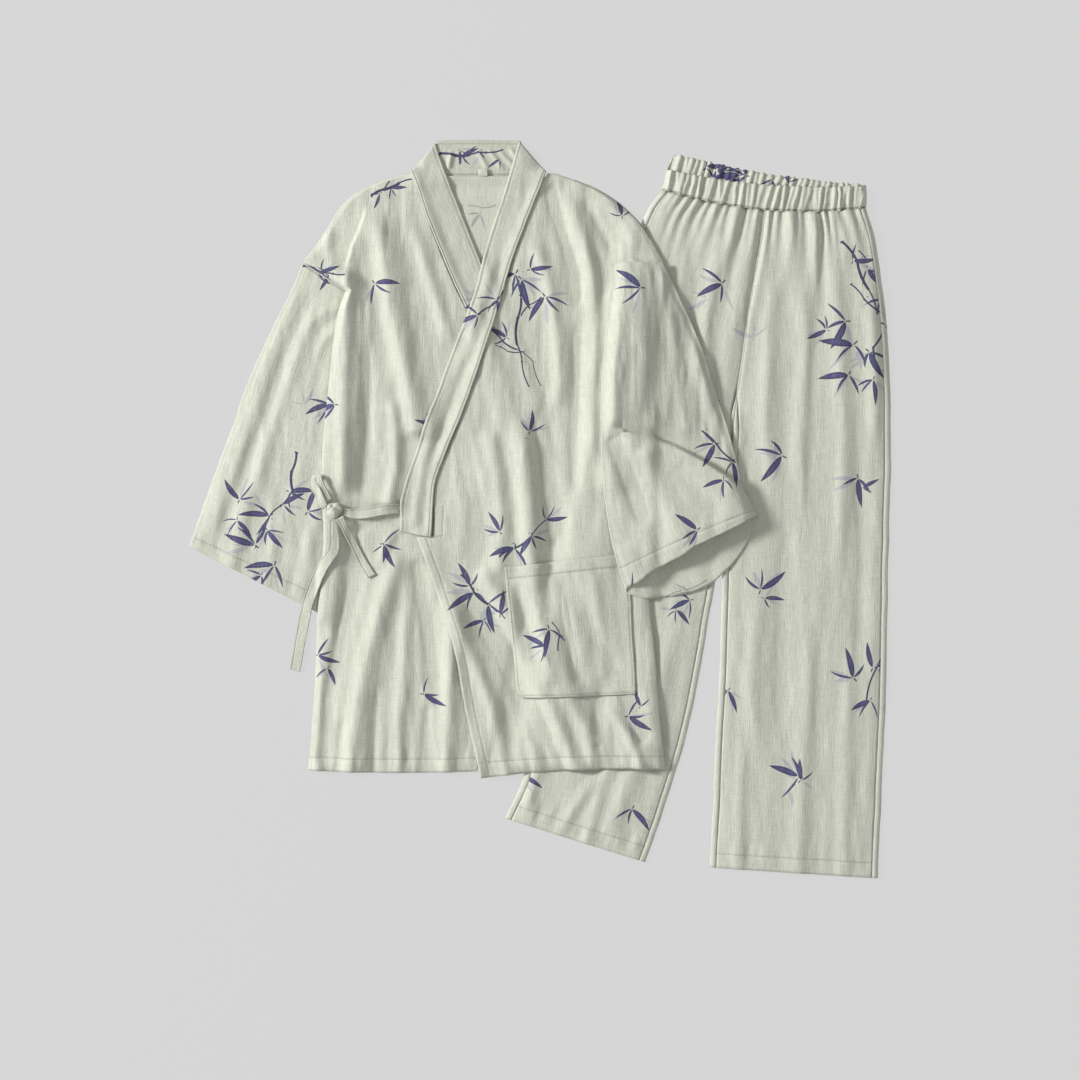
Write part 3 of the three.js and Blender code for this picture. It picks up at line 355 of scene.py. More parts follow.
def record(name, P, Z):
    """Keeps the upper surface of a laid grid on the height grid."""
    H = tops.setdefault(name, np.zeros((GX, GY)))
    R, C = Z.shape
    n = 3
    tj, ti = np.arange(0, R - 1 + 1e-9, 1 / n), np.arange(0, C - 1 + 1e-9, 1 / n)
    j0, i0 = np.minimum(tj.astype(int), R - 2), np.minimum(ti.astype(int), C - 2)
    fj, fi = (tj - j0)[:, None], (ti - i0)[None, :]

    def up(A):
        a, b = A[j0][:, i0], A[j0][:, i0 + 1]
        c, d = A[j0 + 1][:, i0], A[j0 + 1][:, i0 + 1]
        return (a * (1 - fi) + b * fi) * (1 - fj) + (c * (1 - fi) + d * fi) * fj

    x, y, z = up(P[..., 0]), up(P[..., 1]), up(Z)
    ix = np.clip(((x - OX) / CELL).astype(int), 0, GX - 1)
    iy = np.clip(((y - OY) / CELL).astype(int), 0, GY - 1)
    np.maximum.at(H, (ix.ravel(), iy.ravel()), z.ravel())


def slide_max(A, r):
    for axis in (0, 1):
        B = A.copy()
        for k in range(1, r + 1):
            for s in (-k, k):
                B = np.maximum(B, np.roll(A, s, axis))
        A = B
    return A


def slide_mean(A, r):
    for axis in (0, 1):
        B = A.copy()
        for k in range(1, r + 1):
            B = B + np.roll(A, k, axis) + np.roll(A, -k, axis)
        A = B / (2 * r + 1)
    return A


def support(names, r=3, mask=None):
    """A smooth surface that nowhere dips under the named pieces."""
    H = np.zeros((GX, GY))
    for n in names:
        H = np.maximum(H, tops[n])
    if mask is not None:
        X = OX + (np.arange(GX)[:, None] + 0.5) * CELL
        Y = OY + (np.arange(GY)[None, :] + 0.5) * CELL
        H = H * mask(X, Y)
    a = max(1, r // 2)
    return slide_mean(slide_mean(slide_max(H, r), a), r - a)


def sample(S, P):
    fx = (P[..., 0] - OX) / CELL - 0.5
    fy = (P[..., 1] - OY) / CELL - 0.5
    ix, iy = np.clip(fx.astype(int), 0, GX - 2), np.clip(fy.astype(int), 0, GY - 2)
    fx, fy = fx - ix, fy - iy
    return (S[ix, iy] * (1 - fx) + S[ix + 1, iy] * fx) * (1 - fy) + (
        S[ix, iy + 1] * (1 - fx) + S[ix + 1, iy + 1] * fx
    ) * fy


# ---------------------------------------------------------------- cloth grids
class Grid:
    """Plan points of a piece, with distances to its four sides."""

    def __init__(self, rows, du, dv, sharp=(), wobble=0.5, seed=1):
        rows = np.array(rows, float)
        L, Rr, bow = rows[:, 0:2], rows[:, 2:4], rows[:, 4]
        step = 0.5 * (
            np.hypot(*np.diff(L, axis=0).T) + np.hypot(*np.diff(Rr, axis=0).T)
        )
        s = np.concatenate([[0], np.cumsum(step)])
        cuts = [0, *sorted(sharp), len(rows) - 1]
        q = []
        ends = [[], []]
        bows = []
        for a, b in zip(cuts[:-1], cuts[1:]):
            n = max(2, int(round((s[b] - s[a]) / dv)))
            t = np.linspace(s[a], s[b], n + 1)
            if b != cuts[-1]:
                t = t[:-1]
            q.append(t)
            for side, E in enumerate((L, Rr)):
                ends[side].append(
                    np.stack([pchip(s[a : b + 1], E[a : b + 1, k], t) for k in (0, 1)], -1)
                )
            bows.append(pchip(s[a : b + 1], bow[a : b + 1], t))
        self.s = np.concatenate(q)
        A, B = np.concatenate(ends[0]), np.concatenate(ends[1])
        bow = np.concatenate(bows)
        width = np.hypot(*(B - A).T)
        C = max(2, int(round(np.percentile(width, 85) / du)))
        u = np.linspace(0, 1, C + 1)
        d = B - A
        n = np.stack([d[:, 1], -d[:, 0]], -1) / np.maximum(width, 1e-6)[:, None]
        self.P = (
            A[:, None] + d[:, None] * u[None, :, None]
            + n[:, None] * (bow[:, None] * 4 * u * (1 - u))[..., None]
        )
        self.u, self.width, self.S = u, width, self.s[-1]
        self.dl = u[None] * width[:, None]
        self.dr = (1 - u)[None] * width[:, None]
        self.d0 = np.repeat(self.s[:, None], C + 1, 1)
        self.d1 = self.S - self.d0
        self.Z = np.zeros(self.P.shape[:2])
        # a real edge is never quite straight
        w = wobble * (noise(self.s / 31, self.s * 0 + seed, 5) + 0.5 * noise(self.s / 11, self.s * 0 + seed, 6))
        for side, dist in ((0, self.dl), (1, self.dr)):
            self.P += (n * 0 + (d / np.maximum(width, 1e-6)[:, None]) * w[:, None])[:, None] * np.exp(
                -dist / 15
            )[..., None]
        self.X, self.Y = self.P[..., 0], self.P[..., 1]

    def uv(self, angle=None):
        """Cloth coordinates: across and along the grain."""
        if angle is None:
            return np.stack([self.dl - self.width[:, None] / 2, self.d0], -1)
        c, s = math.cos(angle), math.sin(angle)
        return np.stack([self.X * c + self.Y * s, -self.X * s + self.Y * c], -1)


FOLD = 1.85  # overall depth of the folds


def drape(folds, side, lift=2.4):
    """Folds on a lifted sheet that settles to its support at the sides and never goes through it."""
    v = (folds + lift) * side
    return 0.5 * (v + np.sqrt(v * v + 0.5)) - 0.35


def ridge(G, rows):
    """Sum of soft ridges (h > 0) and troughs (h < 0). Each row is
    (h, width on its left, width on its right, fade at start, fade at end, points from top to bottom)."""
    total = np.zeros(G.Z.shape)
    for h, wl, wr, f0, f1, pts in rows:
        pts = np.array(pts, float)
        seg = np.hypot(*np.diff(pts, axis=0).T)
        full = seg.sum()
        best = np.full(G.Z.shape, 1e9)
        sign = np.zeros(G.Z.shape)
        along = np.zeros(G.Z.shape)
        run = 0.0
        for (x0, y0), (x1, y1), ln in zip(pts[:-1], pts[1:], seg):
            dx, dy = (x1 - x0) / ln, (y1 - y0) / ln
            t = np.clip((G.X - x0) * dx + (G.Y - y0) * dy, 0, ln)
            ex, ey = G.X - x0 - dx * t, G.Y - y0 - dy * t
            dist = np.hypot(ex, ey)
            near = dist < best
            best = np.where(near, dist, best)
            # positive on the side of larger x for a line that runs down
            sign = np.where(near, np.sign(ey * dx - ex * dy), sign)
            along = np.where(near, run + t, along)
            run += ln
        w = np.where(sign > 0, wr, wl)
        fade = np.ones(G.Z.shape)
        if f0:
            fade *= smooth(along / (f0 * full))
        if f1:
            fade *= smooth((full - along) / (f1 * full))
        total += FOLD * h * fade * np.exp(-((best / w) ** 2))
    return total


def ledge(G, h, w, reach, fade0, fade1, pts):
    """A fold that steps up by h on the right of a line that runs down, and dies away over reach."""
    pts = np.array(pts, float)
    seg = np.hypot(*np.diff(pts, axis=0).T)
    full = seg.sum()
    best = np.full(G.Z.shape, 1e9)
    sign = np.zeros(G.Z.shape)
    along = np.zeros(G.Z.shape)
    run = 0.0
    for (x0, y0), (x1, y1), ln in zip(pts[:-1], pts[1:], seg):
        dx, dy = (x1 - x0) / ln, (y1 - y0) / ln
        t = np.clip((G.X - x0) * dx + (G.Y - y0) * dy, 0, ln)
        ex, ey = G.X - x0 - dx * t, G.Y - y0 - dy * t
        dist = np.hypot(ex, ey)
        near = dist < best
        best = np.where(near, dist, best)
        sign = np.where(near, np.where(ey * dx - ex * dy > 0, 1.0, -1.0), sign)
        along = np.where(near, run + t, along)
        run += ln
    sd = best * sign
    fade = smooth(along / (fade0 * full)) * (smooth((full - along) / (fade1 * full)) if fade1 else 1.0)
    return h * fade * smooth((sd + w) / (2 * w)) * np.exp(-((np.maximum(sd, 0) / reach) ** 2))


def rim(G, sides, r=7.0):
    """0 at the named sides, 1 from r inside."""
    f = np.ones(G.Z.shape)
    for s in sides:
        f = f * smooth(getattr(G, s) / r)
    return f


def crumple(G, amp, seed, wide=14.0, long=46.0, angle=0.0):
    """Uneven soft crumples, longer along the grain than across it."""
    c, s = math.cos(angle), math.sin(angle)
    uv = np.stack([G.X * c + G.Y * s + 900, -G.X * s + G.Y * c + 900], -1)
    a = noise(uv[..., 0] / wide, uv[..., 1] / long, seed)
    b = noise(uv[..., 0] / (wide * 0.45), uv[..., 1] / (long * 0.5), seed + 1)
    c = noise(uv[..., 0] / (wide * 2.6), uv[..., 1] / (long * 1.9), seed + 2)
    return amp * (0.55 * a + 0.3 * b + 0.6 * c)


def hem(G, side, width, seed, pitch=13.0, pucker=0.45, raised=0.6):
    """A turned hem: a little thicker, with small puckers held by its stitching."""
    d = getattr(G, side)
    along = G.dl if side in ("d0", "d1") else G.d0
    band = 1 - smooth((d - width + 1.5) / 3)
    p = noise(along / pitch, d * 0 + seed, seed) + 0.6 * noise(along / (pitch * 0.45), d / 30 + seed, seed + 3)
    window = np.exp(-(((d - width) / (width * 0.75)) ** 2))
    return raised * band + pucker * p * window - 0.35 * np.exp(-(((d - width) / 2.2) ** 2))


def roll(G, side, r, depth):
    """Lets an edge turn down, as a fold or a thick edge does."""
    t = np.clip(getattr(G, side) / r, 0, 1)
    return -depth * (1 - np.sqrt(np.maximum(0, 1 - (1 - t) ** 2)))


# ---------------------------------------------------------------- print and stitching
LAYERS = 4  # how many strokes of print one face can carry


def leaf(p0, p1, w, bend=0.0, ink=1.0):
    """A leaf from its stem end to its tip, w wide, bowed sideways by bend."""
    return (*p0, *p1, w, bend, ink, 0.0)


def twig(p0, p1, w, bend=0.0, ink=1.0):
    return (*p0, *p1, w, bend, ink, 2.0)


def turn(p, angle, r):
    a = math.radians(angle)
    return (p[0] + r * math.cos(a), p[1] + r * math.sin(a))


def spray(p, aim, size, seed, leaves=3, ink=1.0, spread=50):
    """A few bamboo leaves from one point, fanned about the aim angle (degrees, 0 = +X)."""
    g = np.random.default_rng(seed)
    made = []
    leaves = min(leaves, 3)
    fat = int(g.integers(0, leaves))
    made.append(twig(turn(p, aim + 180 + g.uniform(-30, 30), size * 0.16), p, size * 0.055, ink=ink))
    for k in range(leaves):
        f = (k - (leaves - 1) / 2) / max(1, (leaves - 1) / 2)
        a = aim + f * spread + g.uniform(-16, 16)
        main = (1.12 if k == fat else g.uniform(0.62, 0.98)) * g.uniform(0.94, 1.06)
        start = turn(p, a + g.uniform(-25, 25), size * 0.05)
        made.append(
            leaf(
                start,
                turn(start, a, size * main),
                size * (g.uniform(0.22, 0.27) if k == fat else g.uniform(0.08, 0.13)),
                bend=size * g.uniform(0.02, 0.075) * (1 if f > 0 else -1),
                ink=ink,
            )
        )
    if ink > 0.5 and size > 20:
        for _ in range(2):
            a = aim + g.uniform(-95, 95)
            start = turn(p, a, size * g.uniform(0.1, 0.3))
            made.append(leaf(start, turn(start, a, size * g.uniform(0.6, 1.0)), size * g.uniform(0.12, 0.18), bend=size * g.uniform(-0.05, 0.05), ink=0.45))
    return made


def stem(points, w, ink=1.0, knots=True):
    """A jointed bamboo twig through points."""
    made = []
    for k, (a, b) in enumerate(zip(points[:-1], points[1:])):
        ln = math.hypot(b[0] - a[0], b[1] - a[1])
        made.append(twig(a, b, w * (0.8, 1.1, 0.65)[k % 3], bend=0.06 * ln * (1, -1)[k % 2], ink=ink))
        if knots:
            ang = math.degrees(math.atan2(b[1] - a[1], b[0] - a[0]))
            made.append(twig(turn(a, ang + 70, w * 0.55), turn(a, ang - 110, w * 0.55), w * 0.7, ink=ink))
        w *= 0.86
    return made


def stroke_layers(plan, faces, strokes, keep=None):
    """For each face, the strokes nearest to it, as (along, across, ink) at each corner."""
    F = len(faces)
    out = np.zeros((LAYERS, F, 4, 3), np.float32)
    out[..., 1] = 9.0
    if not strokes:
        return out
    lo, hi = plan.min(0) - 12, plan.max(0) + 12
    X, Y = plan[:, 0], plan[:, 1]
    found, score = [], []
    for x0, y0, x1, y1, w, bend, ink, kind in strokes:
        if max(x0, x1) < lo[0] or min(x0, x1) > hi[0] or max(y0, y1) < lo[1] or min(y0, y1) > hi[1]:
            continue
        ln = math.hypot(x1 - x0, y1 - y0)
        ex, ey = (x1 - x0) / ln, (y1 - y0) / ln
        t = ((X - x0) * ex + (Y - y0) * ey) / ln
        v = -(X - x0) * ey + (Y - y0) * ex - bend * 4 * t * (1 - t)
        g = np.maximum(np.abs(v) - w / 2, np.maximum(-t, t - 1) * ln)
        gf = g[faces].min(1)
        if keep is not None:
            gf = np.where(keep, gf, 99)
        if gf.min() > 2:
            continue
        found.append((t + kind, v / (w / 2), ink))
        score.append(gf - (0.6 if ink > 0.5 else 0.0))
    if not found:
        return out
    score = np.stack(score)
    order = np.argsort(score, 0)[:LAYERS]
    T = np.stack([f[0] for f in found])
    V = np.stack([f[1] for f in found])
    I = np.array([f[2] for f in found])
    rows = np.arange(F)
    for k in range(len(order)):
        who = order[k]
        near = score[who, rows] < 2.0
        for c in range(4):
            out[k, :, c, 0] = np.where(near, T[who, faces[:, c]], 0)
            out[k, :, c, 1] = np.where(near, V[who, faces[:, c]], 9)
            out[k, :, c, 2] = np.where(near, I[who], 0)
    return out


def seam_layer(plan, faces, lines, keep=None):
    """Nearest seam or stitch line of each face, as (along, across, kind) in mm.
    kind 1 is a row of stitches, kind 2 the ditch of a seam."""
    F = len(faces)
    out = np.zeros((F, 4, 3), np.float32)
    out[..., 1] = 99.0
    best = np.full(F, 5.0)
    X, Y = plan[:, 0], plan[:, 1]
    cx, cy = X[faces].mean(1), Y[faces].mean(1)
    for kind, pts in lines:
        pts = np.asarray(pts, float)
        run = 0.0
        for (x0, y0), (x1, y1) in zip(pts[:-1], pts[1:]):
            ln = math.hypot(x1 - x0, y1 - y0)
            if ln < 1e-6:
                continue
            ex, ey = (x1 - x0) / ln, (y1 - y0) / ln
            t = np.clip((cx - x0) * ex + (cy - y0) * ey, 0, ln)
            dist = np.hypot(cx - x0 - ex * t, cy - y0 - ey * t)
            near = dist < best
            if keep is not None:
                near &= keep
            best = np.where(near, dist, best)
            f = faces[near]
            out[near, :, 0] = run + (X[f] - x0) * ex + (Y[f] - y0) * ey
            out[near, :, 1] = -(X[f] - x0) * ey + (Y[f] - y0) * ex
            out[near, :, 2] = kind
            run += ln
    return out


def surface(name, V, uv, mats, thick=CLOTH, closed=False, strokes=(), under_strokes=(), seams=(), upper=None):
    """A grid of outer-surface points in mm as a thin cloth wall."""
    R, C = V.shape[:2]
    idx = np.arange(R * C).reshape(R, C)
    if closed:
        a, d = idx[:-1], idx[1:]
        b, c = np.roll(a, -1, 1), np.roll(d, -1, 1)
    else:
        a, b, c, d = idx[:-1, :-1], idx[:-1, 1:], idx[1:, 1:], idx[1:, :-1]
    faces = np.stack([a, d, c, b], -1).reshape(-1, 4)
    me = bpy.data.meshes.new(name)
    me.vertices.add(R * C)
    me.vertices.foreach_set("co", (V.reshape(-1) * 0.001).astype(np.float32))
    me.loops.add(faces.size)
    me.loops.foreach_set("vertex_index", faces.reshape(-1).astype(np.int32))
    me.polygons.add(len(faces))
    me.polygons.foreach_set("loop_start", (np.arange(len(faces)) * 4).astype(np.int32))
    me.polygons.foreach_set("use_smooth", np.ones(len(faces), bool))
    plan = V.reshape(-1, 3)[:, :2]
    keep = None if upper is None else upper.reshape(-1)[faces].mean(1) > 0.5
    ink = stroke_layers(plan, faces, list(strokes), keep)
    if keep is not None and under_strokes:
        other = stroke_layers(plan, faces, list(under_strokes), ~keep)
        ink = np.where(keep[None, :, None, None], ink, other)
    for k in range(LAYERS):
        at = me.attributes.new(f"ink{k}", "FLOAT_VECTOR", "CORNER")
        at.data.foreach_set("vector", ink[k].reshape(-1))
    at = me.attributes.new("seam", "FLOAT_VECTOR", "CORNER")
    at.data.foreach_set("vector", seam_layer(plan, faces, list(seams), keep).reshape(-1))
    at = me.attributes.new("grain", "FLOAT_VECTOR", "POINT")
    g = np.zeros((R * C, 3), np.float32)
    g[:, :2] = uv.reshape(-1, 2)
    at.data.foreach_set("vector", g.reshape(-1))
    me.update(calc_edges=True)
    me.validate()
    ob = bpy.data.objects.new(name, me)
    bpy.context.scene.collection.objects.link(ob)
    for m in mats:
        me.materials.append(m)
    mod = ob.modifiers.new("wall", "SOLIDIFY")
    mod.thickness = thick * 0.001
    mod.offset = -1
    mod.use_rim = True
    if len(mats) > 1:
        mod.material_offset = 1
    return ob


# ---------------------------------------------------------------- cloth material
def srgb(r, g, b):
    def lin(c):
        c /= 255
        return c / 12.92 if c <= 0.04045 else ((c + 0.055) / 1.055) ** 2.4

    return (lin(r), lin(g), lin(b), 1)


class Nodes:
    def __init__(self, tree):
        self.t = tree

    def new(self, kind, **props):
        n = self.t.nodes.new(kind)
        for k, v in props.items():
            setattr(n, k, v)
        return n

    def put(self, sock, v):
        if hasattr(v, "is_output"):
            self.t.links.new(v, sock)
        else:
            sock.default_value = v

    def math(self, op, a, b=0.0, c=0.0, clamp=False):
        n = self.new("ShaderNodeMath", operation=op, use_clamp=clamp)
        for s, v in zip(n.inputs, (a, b, c)):
            self.put(s, v)
        return n.outputs[0]

    def attr(self, name):
        return self.new("ShaderNodeAttribute", attribute_name=name).outputs["Vector"]

    def xyz(self, v):
        n = self.new("ShaderNodeSeparateXYZ")
        self.put(n.inputs[0], v)
        return n.outputs

    def ramp(self, v, a, b, c=0.0, d=1.0, kind="SMOOTHSTEP"):
        n = self.new("ShaderNodeMapRange", interpolation_type=kind)
        for s, x in zip(n.inputs, (v, a, b, c, d)):
            self.put(s, x)
        return n.outputs[0]

    def scaled(self, v, s):
        n = self.new("ShaderNodeVectorMath", operation="MULTIPLY")
        self.put(n.inputs[0], v)
        n.inputs[1].default_value = s
        return n.outputs[0]

    def noise(self, v, scale, detail=2.0, rough=0.5):
        n = self.new("ShaderNodeTexNoise")
        self.put(n.inputs["Vector"], self.scaled(v, scale))
        n.inputs["Scale"].default_value = 1.0
        n.inputs["Detail"].default_value = detail
        n.inputs["Roughness"].default_value = rough
        return n.outputs["Fac"]

    def mix(self, f, a, b):
        n = self.new("ShaderNodeMix", data_type="RGBA")
        self.put(n.inputs["Factor"], f)
        self.put(n.inputs["A"], a)
        self.put(n.inputs["B"], b)
        return n.outputs["Result"]


def ink_group():
    """(along, across, ink) of one stroke to its dark and pale coverage."""
    t = bpy.data.node_groups.new("print stroke", "ShaderNodeTree")
    t.interface.new_socket("Stroke", in_out="INPUT", socket_type="NodeSocketVector")
    t.interface.new_socket("Rough", in_out="INPUT", socket_type="NodeSocketFloat")
    t.interface.new_socket("Dark", in_out="OUTPUT", socket_type="NodeSocketFloat")
    t.interface.new_socket("Pale", in_out="OUTPUT", socket_type="NodeSocketFloat")
    t.interface.new_socket("Core", in_out="OUTPUT", socket_type="NodeSocketFloat")
    n = Nodes(t)
    gi, go = n.new("NodeGroupInput"), n.new("NodeGroupOutput")
    s = n.xyz(gi.outputs["Stroke"])
    along = n.math("MAXIMUM", n.math("MINIMUM", s[0], 0.9999), 0.0001)
    body = n.math(
        "MULTIPLY",
        n.math("MULTIPLY", n.math("POWER", along, 0.62), n.math("POWER", n.math("SUBTRACT", 1.0, along), 0.95)),
        2.75,
    )
    inside = n.math("MULTIPLY", n.math("GREATER_THAN", s[0], 0.0), n.math("LESS_THAN", s[0], 1.0))
    leafp = n.math("ADD", n.math("MULTIPLY", body, inside), n.math("SUBTRACT", inside, 1.0))
    tw = n.math("MULTIPLY", n.math("GREATER_THAN", s[0], 1.98), n.math("LESS_THAN", s[0], 3.02))
    twigp = n.math("SUBTRACT", n.math("MULTIPLY", tw, 1.9), 1.0)
    is_twig = n.math("GREATER_THAN", s[0], 1.5)
    p = n.math("ADD", n.math("MULTIPLY", leafp, n.math("SUBTRACT", 1.0, is_twig)), n.math("MULTIPLY", twigp, is_twig))
    q = n.math("ADD", n.math("SUBTRACT", p, n.math("ABSOLUTE", s[1])), n.math("MULTIPLY", n.math("SUBTRACT", gi.outputs["Rough"], 0.5), 0.34))
    mask = n.ramp(q, -0.07, 0.07)
    dark = n.math("GREATER_THAN", s[2], 0.5)
    t.links.new(n.math("MULTIPLY", mask, dark), go.inputs["Dark"])
    pale = n.math("MULTIPLY", n.math("MULTIPLY", mask, n.math("SUBTRACT", 1.0, dark)), s[2])
    t.links.new(pale, go.inputs["Pale"])
    core = n.math("MULTIPLY", n.math("MULTIPLY", n.ramp(q, 0.1, 0.75), dark), n.math("SUBTRACT", 1.0, is_twig))
    t.links.new(core, go.inputs["Core"])
    return t


INK = ink_group()


def cloth(name, colour, warp=0.165, printed=1.0, wrong_side=False):
    """Slubbed cotton and linen, with its print and its stitching, and painted shade along its seam ditches."""
    m = bpy.data.materials.new(name)
    m.use_nodes = True
    t = m.node_tree
    t.nodes.clear()
    n = Nodes(t)
    out = n.new("ShaderNodeOutputMaterial")
    sh = n.new("ShaderNodeBsdfPrincipled")
    t.links.new(sh.outputs[0], out.inputs[0])
    grain = n.attr("grain")
    slub = n.noise(grain, (0.55, 0.035, 1), 3.0, 0.62)
    fine = n.noise(grain, (1.5, 0.09, 1), 2.0, 0.6)
    weft = n.noise(grain, (0.045, 0.75, 1), 3.0, 0.6)
    cloud = n.noise(grain, (0.02, 0.012, 1), 2.0, 0.5)
    fleck = n.noise(grain, (1.9, 1.9, 1), 1.0, 0.5)
    s = n.xyz(grain)
    thread = n.math(
        "MULTIPLY",
        n.math("SINE", n.math("MULTIPLY", s[0], 2 * math.pi / 1.1)),
        n.math("SINE", n.math("MULTIPLY", s[1], 2 * math.pi / 1.1)),
    )
    tone = n.math("ADD", n.math("MULTIPLY", n.math("SUBTRACT", slub, 0.5), warp * 2.6), 1.0)
    tone = n.math("ADD", tone, n.math("MULTIPLY", n.math("SUBTRACT", fine, 0.5), warp * 2.6))
    tone = n.math("ADD", tone, n.math("MULTIPLY", n.math("SUBTRACT", weft, 0.5), warp * 2.0))
    tone = n.math("ADD", tone, n.math("MULTIPLY", n.math("SUBTRACT", cloud, 0.5), warp * 0.6))
    tone = n.math("ADD", tone, n.math("MULTIPLY", n.math("SUBTRACT", fleck, 0.5), warp * 1.5))
    tone = n.math("ADD", tone, n.math("MULTIPLY", thread, 0.012))
    base = n.new("ShaderNodeVectorMath", operation="SCALE")
    base.inputs[0].default_value = colour[:3]
    t.links.new(tone, base.inputs["Scale"])
    col = base.outputs[0]
    rough_edge = n.noise(grain, (1.3, 0.7, 1), 2.0, 0.6)
    dark = pale = core = None
    for k in range(LAYERS):
        g = n.new("ShaderNodeGroup", node_tree=INK)
        t.links.new(n.attr(f"ink{k}"), g.inputs["Stroke"])
        t.links.new(rough_edge, g.inputs["Rough"])
        d, p, c = g.outputs["Dark"], g.outputs["Pale"], g.outputs["Core"]
        dark = d if dark is None else n.math("MAXIMUM", dark, d)
        pale = p if pale is None else n.math("MAXIMUM", pale, p)
        core = c if core is None else n.math("MAXIMUM", core, c)
    pf = n.math("MULTIPLY", pale, n.ramp(weft, 0.3, 0.62, 0.65 * printed, 1.0 * printed))
    col = n.mix(pf, col, srgb(152, 150, 184))
    ink = n.mix(core, srgb(58, 54, 96), srgb(80, 77, 126))
    worn = n.ramp(fine, 0.28, 0.5, 0.78, 1.0)
    df = n.math("MULTIPLY", n.math("MULTIPLY", dark, worn), 0.97 * printed if not wrong_side else 0.42)
    col = n.mix(df, col, ink)
    sm = n.xyz(n.attr("seam"))
    away = n.math("ABSOLUTE", sm[1])
    is1 = n.math("COMPARE", sm[2], 1.0, 0.2)
    is2 = n.math("COMPARE", sm[2], 2.0, 0.2)
    dash = n.ramp(n.math("PINGPONG", n.math("MULTIPLY", sm[0], 1 / 1.55), 1.0), 0.18, 0.4)
    line1 = n.math("MULTIPLY", n.math("MULTIPLY", n.ramp(away, 0.25, 0.8, 1.0, 0.0), dash), is1)
    # mask of a seam's ditch: it deepens the groove in the bump and carries painted shade in the colour
    ditch_groove_and_shade = n.math("MULTIPLY", n.ramp(away, 0.2, 0.9, 1.0, 0.0), is2)
    col = n.mix(n.math("MULTIPLY", line1, 0.55), col, srgb(126, 127, 112))
    # painted shade: the seam ditch is darkened towards srgb(118, 119, 104), standing in for shade in the crease
    col = n.mix(n.math("MULTIPLY", ditch_groove_and_shade, 0.42), col, srgb(118, 119, 104))
    t.links.new(col, sh.inputs["Base Color"])
    h = n.math("MULTIPLY", n.math("SUBTRACT", slub, 0.5), 0.9)
    h = n.math("ADD", h, n.math("MULTIPLY", n.math("SUBTRACT", fine, 0.5), 0.55))
    h = n.math("ADD", h, n.math("MULTIPLY", n.math("SUBTRACT", weft, 0.5), 0.4))
    h = n.math("ADD", h, n.math("MULTIPLY", thread, 0.1))
    groove = n.math("ADD", n.math("MULTIPLY", n.ramp(away, 0.0, 2.4, 1.0, 0.0), n.math("ADD", is1, is2)), n.math("MULTIPLY", ditch_groove_and_shade, 0.7))
    h = n.math("SUBTRACT", h, n.math("MULTIPLY", groove, 0.9))
    h = n.math("ADD", h, n.math("MULTIPLY", line1, 0.35))
    bump = n.new("ShaderNodeBump")
    bump.inputs["Strength"].default_value = 0.8
    bump.inputs["Distance"].default_value = 0.0009
    t.links.new(h, bump.inputs["Height"])
    t.links.new(bump.outputs[0], sh.inputs["Normal"])
    rough = n.ramp(slub, 0.3, 0.7, 0.82, 0.93, "LINEAR")
    t.links.new(rough, sh.inputs["Roughness"])
    sh.inputs["Specular IOR Level"].default_value = 0.22
    sh.inputs["Sheen Weight"].default_value = 0.12
    sh.inputs["Sheen Roughness"].default_value = 0.6
    return m


JACKET = cloth("jacket cloth", srgb(212, 214, 199))
# wrong side of the jacket cloth, with its print faded through; its tone is set lighter than the right side as painted
# light, lifting the shade inside the cuffs and the neck opening
JACKET_IN_PAINTED_LIGHTER = cloth("jacket cloth, wrong side", srgb(216, 218, 203), printed=0.45, wrong_side=True)
COLLAR = cloth("collar cloth", srgb(208, 210, 195), warp=0.165)
TROUSER = cloth("trouser cloth", srgb(214, 216, 201))
TROUSER_IN = cloth("trouser cloth, wrong side", srgb(205, 207, 192), printed=0.45, wrong_side=True)
TIE = cloth("tie cloth", srgb(210, 212, 197), warp=0.13)


def declare(ob, nodes):
    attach(ob, "root")
    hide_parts(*nodes)


# ---------------------------------------------------------------- trousers
def curve(points, n=60):
    pts = np.array(points, float)
    s = np.concatenate([[0], np.cumsum(np.hypot(*np.diff(pts, axis=0).T))])
    q = np.linspace(0, s[-1], n)
    return np.stack([pchip(s, pts[:, k], q) for k in (0, 1)], -1)


def side_curve(G, inset, side, d_from=0.0, d_to=1e9):
    """The line at a fixed inset from one side of a grid."""
    out = []
    for j in range(len(G.s)):
        if not d_from <= G.s[j] <= d_to:
            continue
        w = max(G.width[j], 1e-3)
        u = inset / w if side == "l" else 1 - inset / w
        k = u * (len(G.u) - 1)
        i = int(np.clip(k, 0, len(G.u) - 2))
        f = k - i
        out.append(G.P[j, i] * (1 - f) + G.P[j, i + 1] * f)
    return np.array(out)


def row_curve(G, dist, end="d1"):
    """The line at a fixed distance from the first or last row."""
    s = dist if end == "d0" else G.S - dist
    j = int(np.clip(np.searchsorted(G.s, s), 1, len(G.s) - 1))
    f = (s - G.s[j - 1]) / (G.s[j] - G.s[j - 1])
    return G.P[j - 1] * (1 - f) + G.P[j] * f


WAIST_L, WAIST_R = (158.2, 415.7), (423.4, 391.8)
WAIST_BOW = 15.0


def waist_seam(x):
    u = np.clip((x - WAIST_L[0]) / (WAIST_R[0] - WAIST_L[0]), 0, 1)
    return WAIST_L[1] + (WAIST_R[1] - WAIST_L[1]) * u - WAIST_BOW * 4 * u * (1 - u)


def hang_from_waist(G):
    """Moves the first rows of a leg so that its top edge follows the waist seam."""
    want = waist_seam(G.P[0, :, 0]) - 0.5
    lift = want - G.P[0, :, 1]
    G.P[..., 1] += lift[None] * np.exp(-G.d0 / 45)
    G.X, G.Y = G.P[..., 0], G.P[..., 1]


